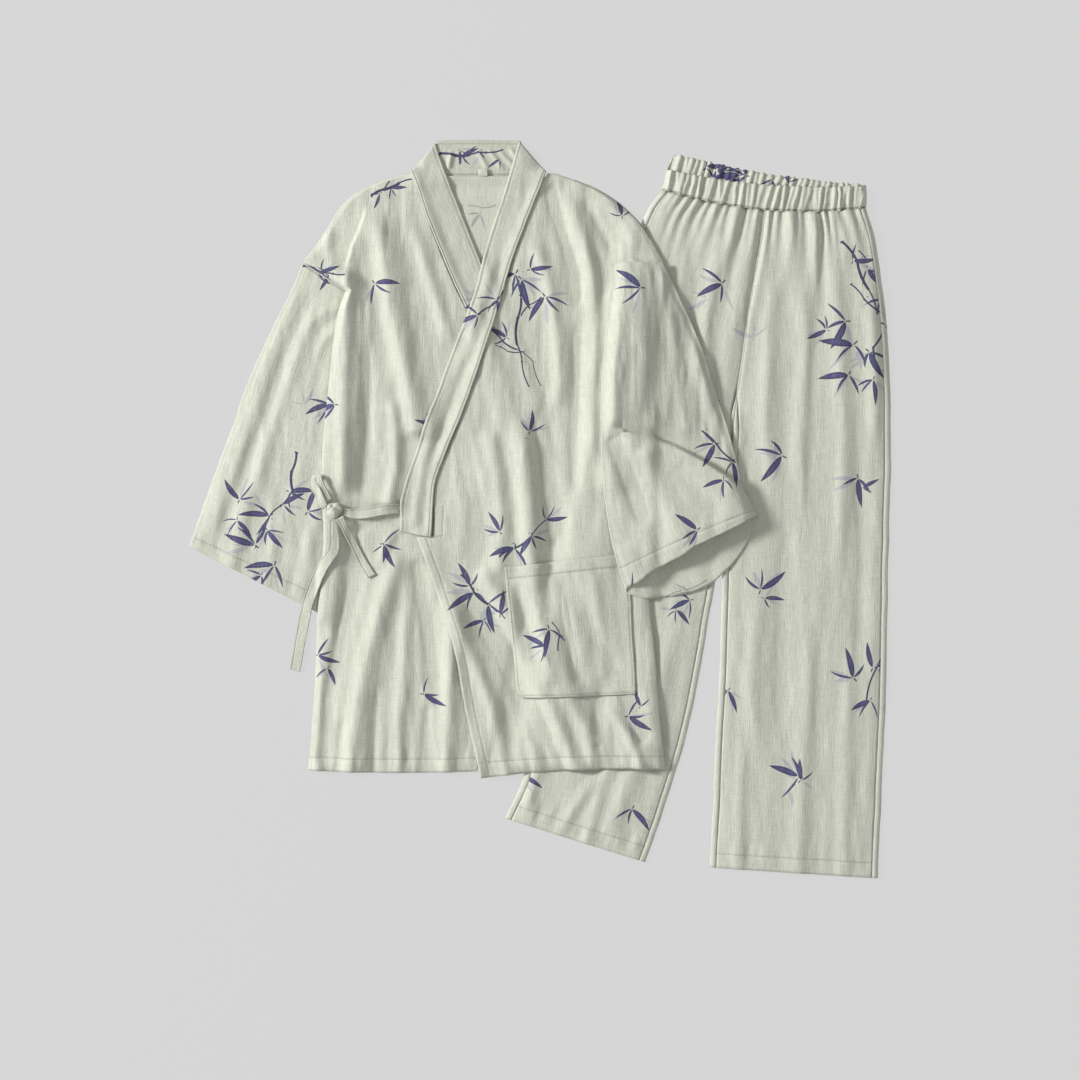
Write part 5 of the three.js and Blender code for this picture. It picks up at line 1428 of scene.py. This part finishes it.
# ---------------------------------------------------------------- jacket: right front
FR_FOLDS = [
    # a light ridge near the side, a broad shaded flank down to the lapel
    (5.6, 13, 19, 0.12, 0.05, [(-216.2, 394.4), (-203.2, 337.2), (-195.4, 272.2), (-179.8, 207.2), (-166.8, 142.2), (-159.0, 90.2)]),
    (3.6, 10, 12, 0.2, 0.1, [(-253.9, 356.7), (-250.0, 272.2), (-253.9, 181.2), (-256.5, 90.2), (-252.6, 12.2)]),
    (3.2, 8, 9, 0.15, 0.1, [(-192.8, 148.7), (-187.6, 103.2), (-187.6, 51.2), (-198.0, -0.8)]),
    (-2.6, 7, 8, 0.2, 0.15, [(-226.6, 233.2), (-225.3, 142.2), (-224.0, 70.7), (-231.8, 12.2)]),
    (2.6, 10, 10, 0.2, 0.15, [(-169.4, 382.7), (-151.2, 324.2), (-130.4, 259.2), (-114.8, 207.2)]),
    (2.0, 8, 9, 0.2, 0.2, [(-273.4, 369.7), (-276.0, 337.2), (-252.6, 285.2)]),
    (4.0, 12, 14, 0.12, 0.0, [(-182.4, -46.3), (-201.9, -117.8), (-221.4, -182.8), (-237.0, -254.3), (-247.4, -338.8)]),
    (-3.0, 9, 10, 0.12, 0.05, [(-226.6, -46.3), (-240.9, -91.8), (-259.1, -156.8), (-277.3, -254.3), (-283.8, -336.2)]),
    (3.6, 10, 11, 0.15, 0.0, [(-120.0, -104.8), (-114.8, -169.8), (-117.4, -247.8), (-122.6, -338.8)]),
    (-3.2, 8, 9, 0.1, 0.1, [(-161.6, -60.6), (-155.1, -104.8), (-143.4, -163.3), (-135.6, -234.8)]),
    (2.2, 8, 8, 0.2, 0.0, [(-177.2, -117.8), (-177.2, -195.8), (-182.4, -273.8), (-185.0, -338.8)]),
    (2.0, 8, 9, 0.2, 0.0, [(-263.0, -65.8), (-268.2, -143.8), (-279.9, -234.8), (-289.0, -336.2)]),
    (-1.6, 6, 6, 0.2, 0, [(-211.0, -221.8), (-216.2, -338.8)]),
    (-1.6, 5, 6, 0.2, 0, [(-146.0, -247.8), (-151.2, -338.8)]),
    (-1.3, 5, 6, 0.2, 0, [(-255.2, -267.3), (-263.0, -337.5)]),
    # creases that the tie pulls in
    (2.0, 4, 6, 0.05, 0.4, [(-185.0, 8.3), (-221.4, 12.2), (-253.9, 16.1)]),
    (-2.2, 5, 5, 0.05, 0.3, [(-179.8, -13.8), (-214.9, -21.6), (-252.6, -26.8)]),
    (1.6, 5, 6, 0.1, 0.4, [(-182.4, -21.6), (-201.9, -50.2), (-213.6, -85.3)]),
]


def fr_base(G):
    S = support(["jacket_back_panel", "jacket_sleeve_right"], 3)
    return sample(S, G.P) + LIFT


def fr_form(G):
    side = rim(G, ("dl",), 9)
    neck = smooth(G.d0 / 22)
    fold = ledge(G, 6.0, 2.2, 24, 0.25, 0.0, [(-227.9, 398.3), (-228.4, 381.4), (-237.0, 359.3), (-244.8, 342.4), (-250.8, 317.7), (-255.7, 282.6)])
    z = 0.5 + drape((ridge(G, FR_FOLDS) + crumple(G, 1.6, 41, 13, 55)) * (0.25 + 0.75 * neck) + fold, side)
    z = z + roll(G, "dl", 3.2, 0.8) + roll(G, "d0", 3.0, 0.8)
    z = z + hem(G, "d1", 17.5, 44, 10, 1.0, 0.4)
    return z


FR_PRINT = (
    stem([(-218.8, 407.4), (-201.9, 415.2), (-183.7, 423.0), (-166.8, 428.2)], 4.6) + stem([(-201.9, 415.2), (-195.4, 425.6)], 2.4) + spray((-192.8, 416.5), 300, 18, 71, 3)
    + spray((-208.4, 410.0), 230, 18, 72, 2, 0.7) + ARM_R
    + spray((-214.9, 293.0), 320, 30, 73, 3)
    + spray((-265.6, 135.7), 190, 28, 75, 3) + spray((-135.6, 105.8), 170, 26, 76, 3, 0.75)
    + spray((-203.2, -45.0), 355, 30, 77, 3) + spray((-203.2, -46.3), 240, 20, 78, 2)
    + spray((-289.0, -189.3), 20, 28, 79, 3) + spray((-276.0, -206.2), 260, 22, 80, 2, 0.6)
    + spray((-151.2, -240.0), 10, 28, 81, 3)
)
fr_, GFR = slab("jacket_front_right", SECTIONS["front_right"], 2.8, 3.5, [JACKET, JACKET_IN_PAINTED_LIGHTER], fr_base, fr_form, angle=0.0,
    strokes=FR_PRINT, seams=lambda G: [(1, row_curve(G, 17.5)), (2, curve([(-308.5, 320.3), (-289.0, 308.6), (-269.5, 295.6), (-252.6, 283.9)], 20))], sharp=(5, 6, 14), seed=9)
declare(fr_, ["front_right"])

# right collar
def col_form(h, seed):
    def f(G):
        across = np.sin(np.clip(G.u, 0, 1) * math.pi)[None] ** 0.6
        z = h * across + crumple(G, 0.9, seed, 9, 30) * across
        for side in ("dl", "dr"):
            z = z + 0.15 * np.exp(-(((getattr(G, side) - 1.6) / 1.2) ** 2)) + roll(G, side, 1.6, 0.6)
        return z

    return f


COLR_PRINT = spray((-69.3, 272.2), 200, 30, 92, 4) + stem([(-81.0, 269.6), (-62.8, 265.7), (-48.5, 256.6)], 2.2)
cr, GCR = slab("collar_right_band", SECTIONS["collar_right"], 2.4, 3.2, [COLLAR],
    lambda G: sample(support(["jacket_front_right", "jacket_back_panel", "collar_back_band"], 3), G.P) + LIFT,
    col_form(0.6, 51), thick=1.9, strokes=COLR_PRINT, seams=lambda G: [(2, side_curve(G, 3.2, "l")), (1, side_curve(G, 4.4, "r"))], seed=10, wobble=0.35)
declare(cr, ["collar_right"])

# ---------------------------------------------------------------- jacket: left front, over everything
FL_FOLDS = [
    (4.6, 12, 10, 0.15, 0.1, [(33.4, 421.7), (49.0, 369.7), (67.2, 304.7), (72.4, 233.2), (64.6, 142.2), (67.2, 51.2)]),
    (-3.0, 8, 9, 0.1, 0.1, [(11.3, 425.6), (25.6, 373.6), (43.8, 313.8), (49.0, 259.2)]),
    (3.4, 10, 11, 0.15, 0.15, [(-12.1, 356.7), (10.0, 298.2), (20.4, 233.2), (25.6, 168.2), (20.4, 116.2)]),
    (-4.2, 10, 11, 0.12, 0.05, [(-3.0, 142.2), (6.1, 77.2), (13.9, 5.7), (25.6, -65.8), (54.2, -133.4), (93.2, -206.2), (129.6, -273.8)]),
    (4.2, 12, 13, 0.12, 0.05, [(-31.6, 129.2), (-21.2, 77.2), (-16.0, 12.2), (-12.1, -59.3), (-0.4, -130.8), (20.4, -208.8), (59.4, -286.8), (77.6, -338.8)]),
    (-3.4, 9, 9, 0.15, 0.1, [(-101.8, 103.2), (-94.0, 57.7), (-83.6, 12.2), (-78.4, -46.3), (-86.2, -91.8)]),
    (3.0, 10, 10, 0.15, 0.1, [(-68.0, 116.2), (-56.3, 51.2), (-48.5, -26.8), (-55.0, -91.8)]),
    (-4.4, 11, 14, 0.12, 0.0, [(-122.6, -50.2), (-101.8, -94.4), (-77.1, -133.4), (-42.0, -195.8), (-5.6, -267.3), (20.4, -344.0)]),
    (3.8, 12, 12, 0.15, 0.0, [(-91.4, -59.3), (-58.9, -104.8), (-26.4, -169.8), (10.0, -247.8), (49.0, -338.8)]),
    (3.2, 10, 10, 0.15, 0.0, [(-122.6, -111.3), (-91.4, -182.8), (-60.2, -260.8), (-42.0, -346.6)]),
    (3.0, 9, 10, 0.15, 0.1, [(93.2, 285.2), (91.9, 194.2), (85.4, 103.2), (82.8, 12.2)]),
    (-2.4, 7, 8, 0.15, 0.15, [(46.4, 246.2), (47.7, 168.2), (43.8, 90.2), (46.4, 12.2)]),
    (3.2, 9, 10, 0.15, 0.0, [(85.4, -234.8), (111.4, -286.8), (129.6, -336.2)]),
    (-2.6, 8, 9, 0.15, 0.1, [(81.5, -234.8), (106.2, -268.6), (140.0, -302.4)]),
    (-1.4, 5, 5, 0.2, 0.0, [(-21.2, -293.3), (-13.4, -345.3)]),
    (-1.4, 5, 5, 0.2, 0.0, [(72.4, -299.8), (82.8, -341.4)]),
    (1.8, 7, 7, 0.1, 0.3, [(129.6, 321.6), (103.6, 291.7), (82.8, 259.2)]),
    (2.0, 9, 9, 0.2, 0.2, [(77.6, 415.2), (106.2, 373.6), (129.6, 330.7)]),
    (-1.6, 7, 7, 0.2, 0.2, [(56.8, 407.4), (80.2, 360.6), (101.0, 326.8)]),
]


def fl_base(G):
    S = support(["jacket_front_right", "collar_right_band", "jacket_back_panel", "collar_back_band"], 4)
    return sample(S, G.P) + LIFT


def fl_form(G):
    side = rim(G, ("dr",), 9)
    z = 0.5 + drape((ridge(G, FL_FOLDS) + crumple(G, 1.6, 61, 13, 55)) * (0.25 + 0.75 * smooth(G.d0 / 22)), side)
    z = z + roll(G, "dr", 3.2, 0.8) + roll(G, "d0", 3.0, 0.8) + roll(G, "dl", 2.6, 0.5) * smooth((G.d0 - 480) / 25)
    z = z + hem(G, "d1", 18.5, 64, 10, 1.15, 0.4)
    return z


FL_PRINT = (
    spray((106.2, 380.1), 100, 24, 103, 3, 0.8) + spray((-13.4, 100.6), 90, 26, 106, 3, 0.6)
    + stem([(-25.1, 277.4), (-29.0, 248.8), (-30.3, 213.7), (-23.8, 191.6), (-14.7, 159.1)], 4.0) + stem([(0.9, 274.8), (-13.4, 265.7), (-25.1, 251.4)], 2.2)
    + stem([(-65.4, 233.2), (-48.5, 217.6), (-30.3, 207.2), (-9.5, 191.6), (0.9, 160.4)], 2.6) + stem([(-57.6, 212.4), (-42.0, 204.6), (-21.2, 204.6)], 1.8)
    + spray((-31.6, 306.0), 245, 34, 107, 3) + spray((-25.1, 298.2), 285, 34, 109, 3) + spray((6.1, 276.1), 300, 34, 108, 3)
    + spray((-13.4, 311.2), 20, 26, 110, 3, 0.55) + spray((-43.3, 222.8), 160, 24, 111, 3, 0.7)
    + stem([(-52.4, -60.6), (-32.9, -50.2), (-12.1, -35.9), (7.4, -13.8)], 3.2) + spray((-32.9, -50.2), 240, 32, 112, 4) + spray((-10.8, -34.6), 300, 26, 113, 3)
    + spray((7.4, -13.8), 60, 24, 114, 3, 0.7) + spray((-52.4, -29.4), 130, 26, 115, 3)
    + stem([(-101.8, -85.3), (-86.2, -107.4), (-68.0, -123.0), (-45.9, -141.2)], 3.6) + spray((-86.2, -107.4), 250, 34, 116, 4) + spray((-68.0, -123.0), 330, 34, 117, 4)
    + spray((-91.4, -99.6), 120, 28, 118, 3) + spray((-52.4, -136.0), 80, 26, 119, 3) + spray((-73.2, -143.8), 260, 24, 120, 3, 0.7)
    + spray((114.0, -268.6), 10, 30, 121, 3) + spray((129.6, -255.6), 70, 20, 122, 2)
)
fl_, GFL = slab("jacket_front_left", SECTIONS["front_left"], 2.8, 3.5, [JACKET, JACKET_IN_PAINTED_LIGHTER], fl_base, fl_form, angle=0.0,
    strokes=FL_PRINT, seams=lambda G: [(1, row_curve(G, 18.5)), (1, side_curve(G, 12.0, "l", 480)), (2, side_curve(G, 0.9, "r", 20, 120))], sharp=(5, 6, 14, 15), seed=13)
declare(fl_, ["front_left"])

COLL_PRINT = spray((-56.3, 272.2), 220, 26, 132, 3) + stem([(-48.5, 282.6), (-61.5, 264.4), (-81.0, 251.4)], 2.4) + spray((-81.0, 251.4), 200, 26, 133, 3)
rows_cl = [tuple(r) for r in SECTIONS["collar_left"]]
a_, b_ = (-182.4, -28.7), (-141.4, -36.5)
rows_cl[-1] = (a_[0], a_[1], b_[0], b_[1], 0.0)
cl, GCL = slab("collar_left_band", rows_cl, 2.4, 3.2, [COLLAR],
    lambda G: sample(support(["jacket_front_left", "jacket_front_right", "jacket_back_panel", "collar_right_band", "collar_back_band"], 3), G.P) + LIFT,
    lambda G: col_form(0.7, 53)(G) + ridge(G, [(1.6, 7, 9, 0.2, 0.2, [(-52.4, 350.2), (-78.4, 259.2), (-109.6, 168.2)]), (1.3, 6, 8, 0.2, 0.1, [(-130.4, 129.2), (-151.2, 64.2), (-164.2, -26.8)]), (-1.0, 5, 6, 0.2, 0.2, [(-91.4, 207.2), (-122.6, 116.2), (-146.0, 51.2)])]) * rim(G, ("dl", "dr"), 9) + roll(G, "d1", 2.5, 0.8),
    thick=1.9, strokes=COLL_PRINT, seams=lambda G: [(2, side_curve(G, 3.4, "r")), (1, side_curve(G, 4.4, "l"))], seed=14, wobble=0.35)
declare(cl, ["collar_left"])

PK_FOLDS = [
    (2.8, 10, 10, 0.15, 0.1, [(-8.2, -81.4), (-3.0, -143.8), (10.0, -234.8)]),
    (-2.2, 8, 9, 0.2, 0.1, [(28.2, -76.2), (33.4, -143.8), (51.6, -232.2)]),
    (2.2, 9, 9, 0.2, 0.2, [(67.2, -72.3), (77.6, -156.8), (85.4, -234.8)]),
    (-1.4, 6, 7, 0.2, 0.2, [(-29.0, -91.8), (-22.5, -169.8)]),
]
pk, GPK = slab("patch_pocket", SECTIONS["pocket"], 2.6, 2.8, [JACKET, JACKET_IN_PAINTED_LIGHTER],
    lambda G: sample(support(["jacket_front_left"], 2), G.P) + 0.4,
    lambda G: 0.5 + (ridge(G, PK_FOLDS) + crumple(G, 0.8, 71, 12, 40)) * rim(G, ("dl", "dr", "d1"), 9) * 0.7 + hem(G, "d0", 15.5, 72, 9, 0.55, 0.7) + roll(G, "dl", 2.4, 0.7) + roll(G, "dr", 2.4, 0.7) + roll(G, "d1", 2.4, 0.7),
    strokes=spray((11.3, -154.2), 260, 32, 141, 4) + spray((6.1, -176.3), 200, 26, 142, 3, 0.8) + stem([(15.2, -146.4), (25.6, -162.0), (23.0, -182.8)], 2.0),
    seams=lambda G: [(1, row_curve(G, 15.5, "d0")), (1, side_curve(G, 3.4, "l")), (1, side_curve(G, 3.4, "r")), (1, row_curve(G, 3.4))], seed=15, wobble=0.4)
declare(pk, ["pocket"])

# ---------------------------------------------------------------- jacket: left sleeve, over the front, pocket and trousers
TUCK = [(106.2, 98.0), (129.6, 94.1), (146.5, 91.5), (176.4, 79.8), (208.9, 62.9), (232.3, 47.3), (251.8, 34.3), (268.7, 13.5), (280.4, -8.6)]
SL_FOLDS = [
    (3.8, 12, 11, 0.15, 0.1, [(129.6, 313.8), (129.6, 246.2), (127.0, 181.2), (121.8, 109.7)]),
    (-2.4, 8, 8, 0.12, 0.1, [(149.1, 321.6), (150.4, 259.2), (151.7, 181.2), (149.1, 109.7)]),
    (3.4, 10, 11, 0.15, 0.1, [(160.8, 272.2), (176.4, 207.2), (186.8, 142.2), (192.0, 90.2)]),
    (-2.2, 8, 9, 0.15, 0.1, [(176.4, 259.2), (197.2, 181.2), (215.4, 103.2)]),
    (2.6, 9, 10, 0.15, 0.1, [(186.8, 239.7), (211.5, 161.7), (233.6, 90.2)]),
    (-1.8, 7, 7, 0.2, 0.1, [(101.0, 285.2), (98.4, 207.2), (99.7, 129.2)]),
    (1.4, 4, 5, 0.1, 0.4, [(114.0, 319.0), (119.2, 298.2), (129.6, 272.2)]),
    (1.4, 4, 5, 0.1, 0.4, [(140.0, 319.0), (142.6, 291.7), (149.1, 265.7)]),
]
CONE_FOLDS = [
    (-3.6, 10, 9, 0.05, 0.2, [(93.2, 95.4), (106.2, 61.6), (124.4, 17.4), (137.4, -26.8)]),
    (2.4, 12, 16, 0.1, 0.2, [(129.6, 82.4), (150.4, 38.2), (171.2, -13.8), (184.2, -60.6)]),
    (-0.9, 10, 10, 0.1, 0.2, [(176.4, 61.6), (207.6, 20.0), (236.2, -19.0)]),
]


TUCK_RISE = 12.0


def tuck_height(G):
    """0 above the tuck line, 1 below it, with a soft step."""
    pts = np.array(TUCK)
    ends = np.interp(G.X, pts[:, 0], pts[:, 1], left=pts[0, 1] + 4, right=pts[-1, 1] - 40)
    return smooth((ends - G.Y + 5) / 7.0), ends - G.Y


def sl_low(H):
    S = support(["jacket_front_left", "patch_pocket", "leg_right", "leg_left", "jacket_back_panel"], 4)
    z = sample(S, H.P) + LIFT
    edge = rim(H, ("dl", "dr"), 10)
    z = z + 0.3 + np.maximum(crumple(H, 0.7, 81, 14, 50), -0.3) * edge
    return z


def sl_top(G, H):
    S = support(["jacket_front_left", "patch_pocket", "leg_right", "leg_left", "jacket_back_panel"], 4)
    base = sample(S, G.P) + LIFT
    edge = rim(G, ("dl", "dr"), 11)
    step, past = tuck_height(G)
    folds = (0.34 * ridge(G, SL_FOLDS) + crumple(G, 1.2, 83, 12, 50)) * (1 - smooth((past + 34) / 26)) + ridge(G, CONE_FOLDS) * step + crumple(G, 0.7, 83, 12, 50)
    z = base + 2 * CLOTH + LIFT + 1.0 + drape(folds, edge)
    u = G.u[None]
    arch = np.sin(np.clip(u, 0, 1) ** 1.45 * math.pi) ** 0.75
    # above the tuck the sleeve falls away from its inner edge to its outer one
    z = z + 17.0 * smooth(G.dl / 18) * (1 - u**1.2) * smooth(G.d0 / 70) * (1 - smooth((past + 16) / 24)) * edge
    z = z - 3.0 * np.exp(-(((past + 8) / 7) ** 2)) * smooth((u - 0.25) / 0.2) * edge
    open_ = smooth(np.clip((G.d0 - 230) / 150, 0, 1))
    z = z + 18.0 * arch * open_ * rim(G, ("dl", "dr"), 20)
    # the tucked-over fold: crest at the line, dropping just above it
    z = z + TUCK_RISE * np.exp(-((np.maximum(past, 0) / 44) ** 2)) * smooth((past + 3.2) / 3.6) * smooth((G.dl - 12) / 30) * edge
    z = z + hem(G, "d1", 17.5, 85, 12, 0.7, 0.45)
    return z


SL_PRINT = (
    spray((223.2, 281.3), 240, 26, 151, 3) + stem([(210.2, 100.6), (228.4, 83.7), (251.8, 61.6), (264.8, 38.2)], 2.6) + spray((225.8, 85.0), 200, 30, 152, 4)
    + spray((249.2, 61.6), 230, 28, 153, 4) + spray((236.2, 38.2), 260, 26, 154, 3) + spray((202.4, -26.8), 200, 30, 155, 3) + spray((129.6, 285.2), 185, 34, 101, 3)
    + spray((116.6, -107.4), 80, 28, 157, 3)
)
slt = [tuple(r) for r in SECTIONS["sleeve_left_top"]]
slb = [tuple(r) for r in SECTIONS["sleeve_left_bottom"]]
IN_PRINT = stem([(160.8, -115.2), (186.8, -104.8), (215.4, -91.8)], 2.4, 0.8) + spray((194.6, -107.4), 200, 26, 163, 4, 0.8)
sl, GSL, HSL = ring(slt, slb, "jacket_sleeve_left", 2.1, 2.4, [JACKET, JACKET_IN_PAINTED_LIGHTER], sl_top, sl_low, 2.0, shake=cuff_shake,
    strokes=SL_PRINT, under=IN_PRINT, seams_of=lambda G: [(1, row_curve(G, 17.5))], seed=16)
declare(sl, ["sleeve_left"])

# ---------------------------------------------------------------- ties
tie_over = ["jacket_front_right", "jacket_sleeve_right", "jacket_back_panel", "collar_left_band"]


def ribbon(name, rows, arch, seed, over, node, twist=0.0):
    def base(G):
        return sample(support(over, 1), G.P) + LIFT * 0.6

    def form(G):
        t = G.d0 / G.S
        z = arch(t) + 0.5 + 0.5 * np.exp(-((G.dl / 1.6) ** 2)) + crumple(G, 0.45, seed, 6, 18)
        return z + twist * (G.u[None] - 0.5) * np.sin(t * math.pi)

    ob, G = slab(name, rows, 1.2, 1.8, [TIE], base, form, thick=1.3,
        seams=lambda G: [(1, side_curve(G, 1.8, "l"))], seed=seed, wobble=0.35)
    declare(ob, [node])
    return ob, G


ribbon("tie_strap_band", SECTIONS["tie_strap"], lambda t: 4.5 * np.sin(t * math.pi) ** 0.8, 171, tie_over[:3], "tie_strap", 2.5)
ribbon("tie_tail_short_band", SECTIONS["tie_tail_short"], lambda t: 3.5 * (1 - t) ** 2 + 0.6, 172, tie_over[:3], "tie_tail_short", -2.0)
ribbon("tie_tail_long_band", SECTIONS["tie_tail_long"], lambda t: 3.5 * (1 - t) ** 3 + 1.4 * np.sin(t * 9) ** 2, 173, tie_over[:3], "tie_tail_long", 1.8)
ribbon("tie_loop_band", SECTIONS["tie_loop"], lambda t: 2.5 + 5.0 * np.sin(t * math.pi), 174, tie_over[:3], "tie_loop", 1.5)


def knot():
    """A flat knot: a band wrapped twice round the ties, with its folds."""
    cx, cy = (-267.1, -1.6)
    cy = -0.8
    cx = -267.0
    R, C = 26, 30
    th = np.linspace(0.06, math.pi * 0.5, R)
    ph = np.linspace(0, 2 * math.pi, C + 1)[:-1]
    T, F = np.meshgrid(th, ph, indexing="ij")
    base = float(sample(support(tie_over[:3], 2), np.array([[cx, cy]]))[0]) + 0.8
    lump = 1 + 0.10 * np.sin(3 * F + 0.6) * np.sin(T) + 0.07 * np.sin(5 * F + 2.0) + 0.05 * np.sin(2 * F - 1.0)
    x = 9.6 * lump * np.sin(T) * np.cos(F)
    y = 8.8 * lump * np.sin(T) * np.sin(F)
    wrap = 1.3 * np.exp(-(((x * 0.5 + y * 0.86) / 1.6) ** 2)) - 1.5 * np.exp(-(((x * 0.5 + y * 0.86 - 3.4) / 1.2) ** 2)) - 1.3 * np.exp(-(((x * 0.8 - y * 0.6 + 4.2) / 1.2) ** 2))
    z = 6.2 * np.cos(T) ** 0.8 * lump + wrap * np.cos(T * 0.8)
    V = np.stack([cx + x, cy + y, base + z], -1)[::-1]
    V[0, :, 2] = base
    ob = surface("tie_knot_wrap", V, np.stack([F[::-1] * 6, T[::-1] * 10], -1), [TIE], thick=1.2, closed=True)
    declare(ob, ["tie_knot"])
    return ob


knot()


# ---------------------------------------------------------------- floor, light and camera
def plane(name, half, z, colour, glow):
    me = bpy.data.meshes.new(name)
    me.from_pydata([(-half, -half, z), (half, -half, z), (half, half, z), (-half, half, z)], [], [(0, 1, 2, 3)])
    ob = bpy.data.objects.new(name, me)
    bpy.context.scene.collection.objects.link(ob)
    m = bpy.data.materials.new(name)
    m.use_nodes = True
    n = Nodes(m.node_tree)
    m.node_tree.nodes.clear()
    out = n.new("ShaderNodeOutputMaterial")
    sh = n.new("ShaderNodeBsdfPrincipled")
    sh.inputs["Base Color"].default_value = colour
    sh.inputs["Roughness"].default_value = 0.9
    sh.inputs["Specular IOR Level"].default_value = 0.1
    sh.inputs["Emission Color"].default_value = srgb(214, 214, 214)
    sh.inputs["Emission Strength"].default_value = glow
    m.node_tree.links.new(sh.outputs[0], out.inputs[0])
    me.materials.append(m)
    return ob


floor = plane("floor", 6.0, -0.0004, srgb(62, 62, 62), 0.93)


def area(name, at, to, size, power):
    li = bpy.data.lights.new(name, "AREA")
    li.shape = "RECTANGLE"
    li.size, li.size_y = size
    li.energy = power
    ob = bpy.data.objects.new(name, li)
    bpy.context.scene.collection.objects.link(ob)
    ob.location = at
    from mathutils import Vector

    ob.rotation_euler = (Vector(to) - Vector(at)).to_track_quat("-Z", "Y").to_euler()
    return ob


area("key", (-5.3, 1.5, 3.2), (0, 0, 0), (1.2, 1.2), 415)
area("fill", (2.5, -3.5, 5.5), (0, 0, 0), (4.0, 4.0), 40)
world = bpy.data.worlds.new("studio")
bpy.context.scene.world = world
world.use_nodes = True
world.node_tree.nodes["Background"].inputs[0].default_value = (1, 1, 1, 1)
world.node_tree.nodes["Background"].inputs[1].default_value = 0.33

cam = bpy.data.cameras.new("camera")
cam.lens = 85
cam.sensor_width = 36
cam.clip_end = 30
cob = bpy.data.objects.new("camera", cam)
bpy.context.scene.collection.objects.link(cob)
cob.location = (-0.0004, -0.0398, 3.315)
cob.rotation_euler = (0, 0, 0)
bpy.context.scene.camera = cob
bpy.context.scene.view_settings.view_transform = "Standard"
bpy.context.scene.view_settings.look = "None"
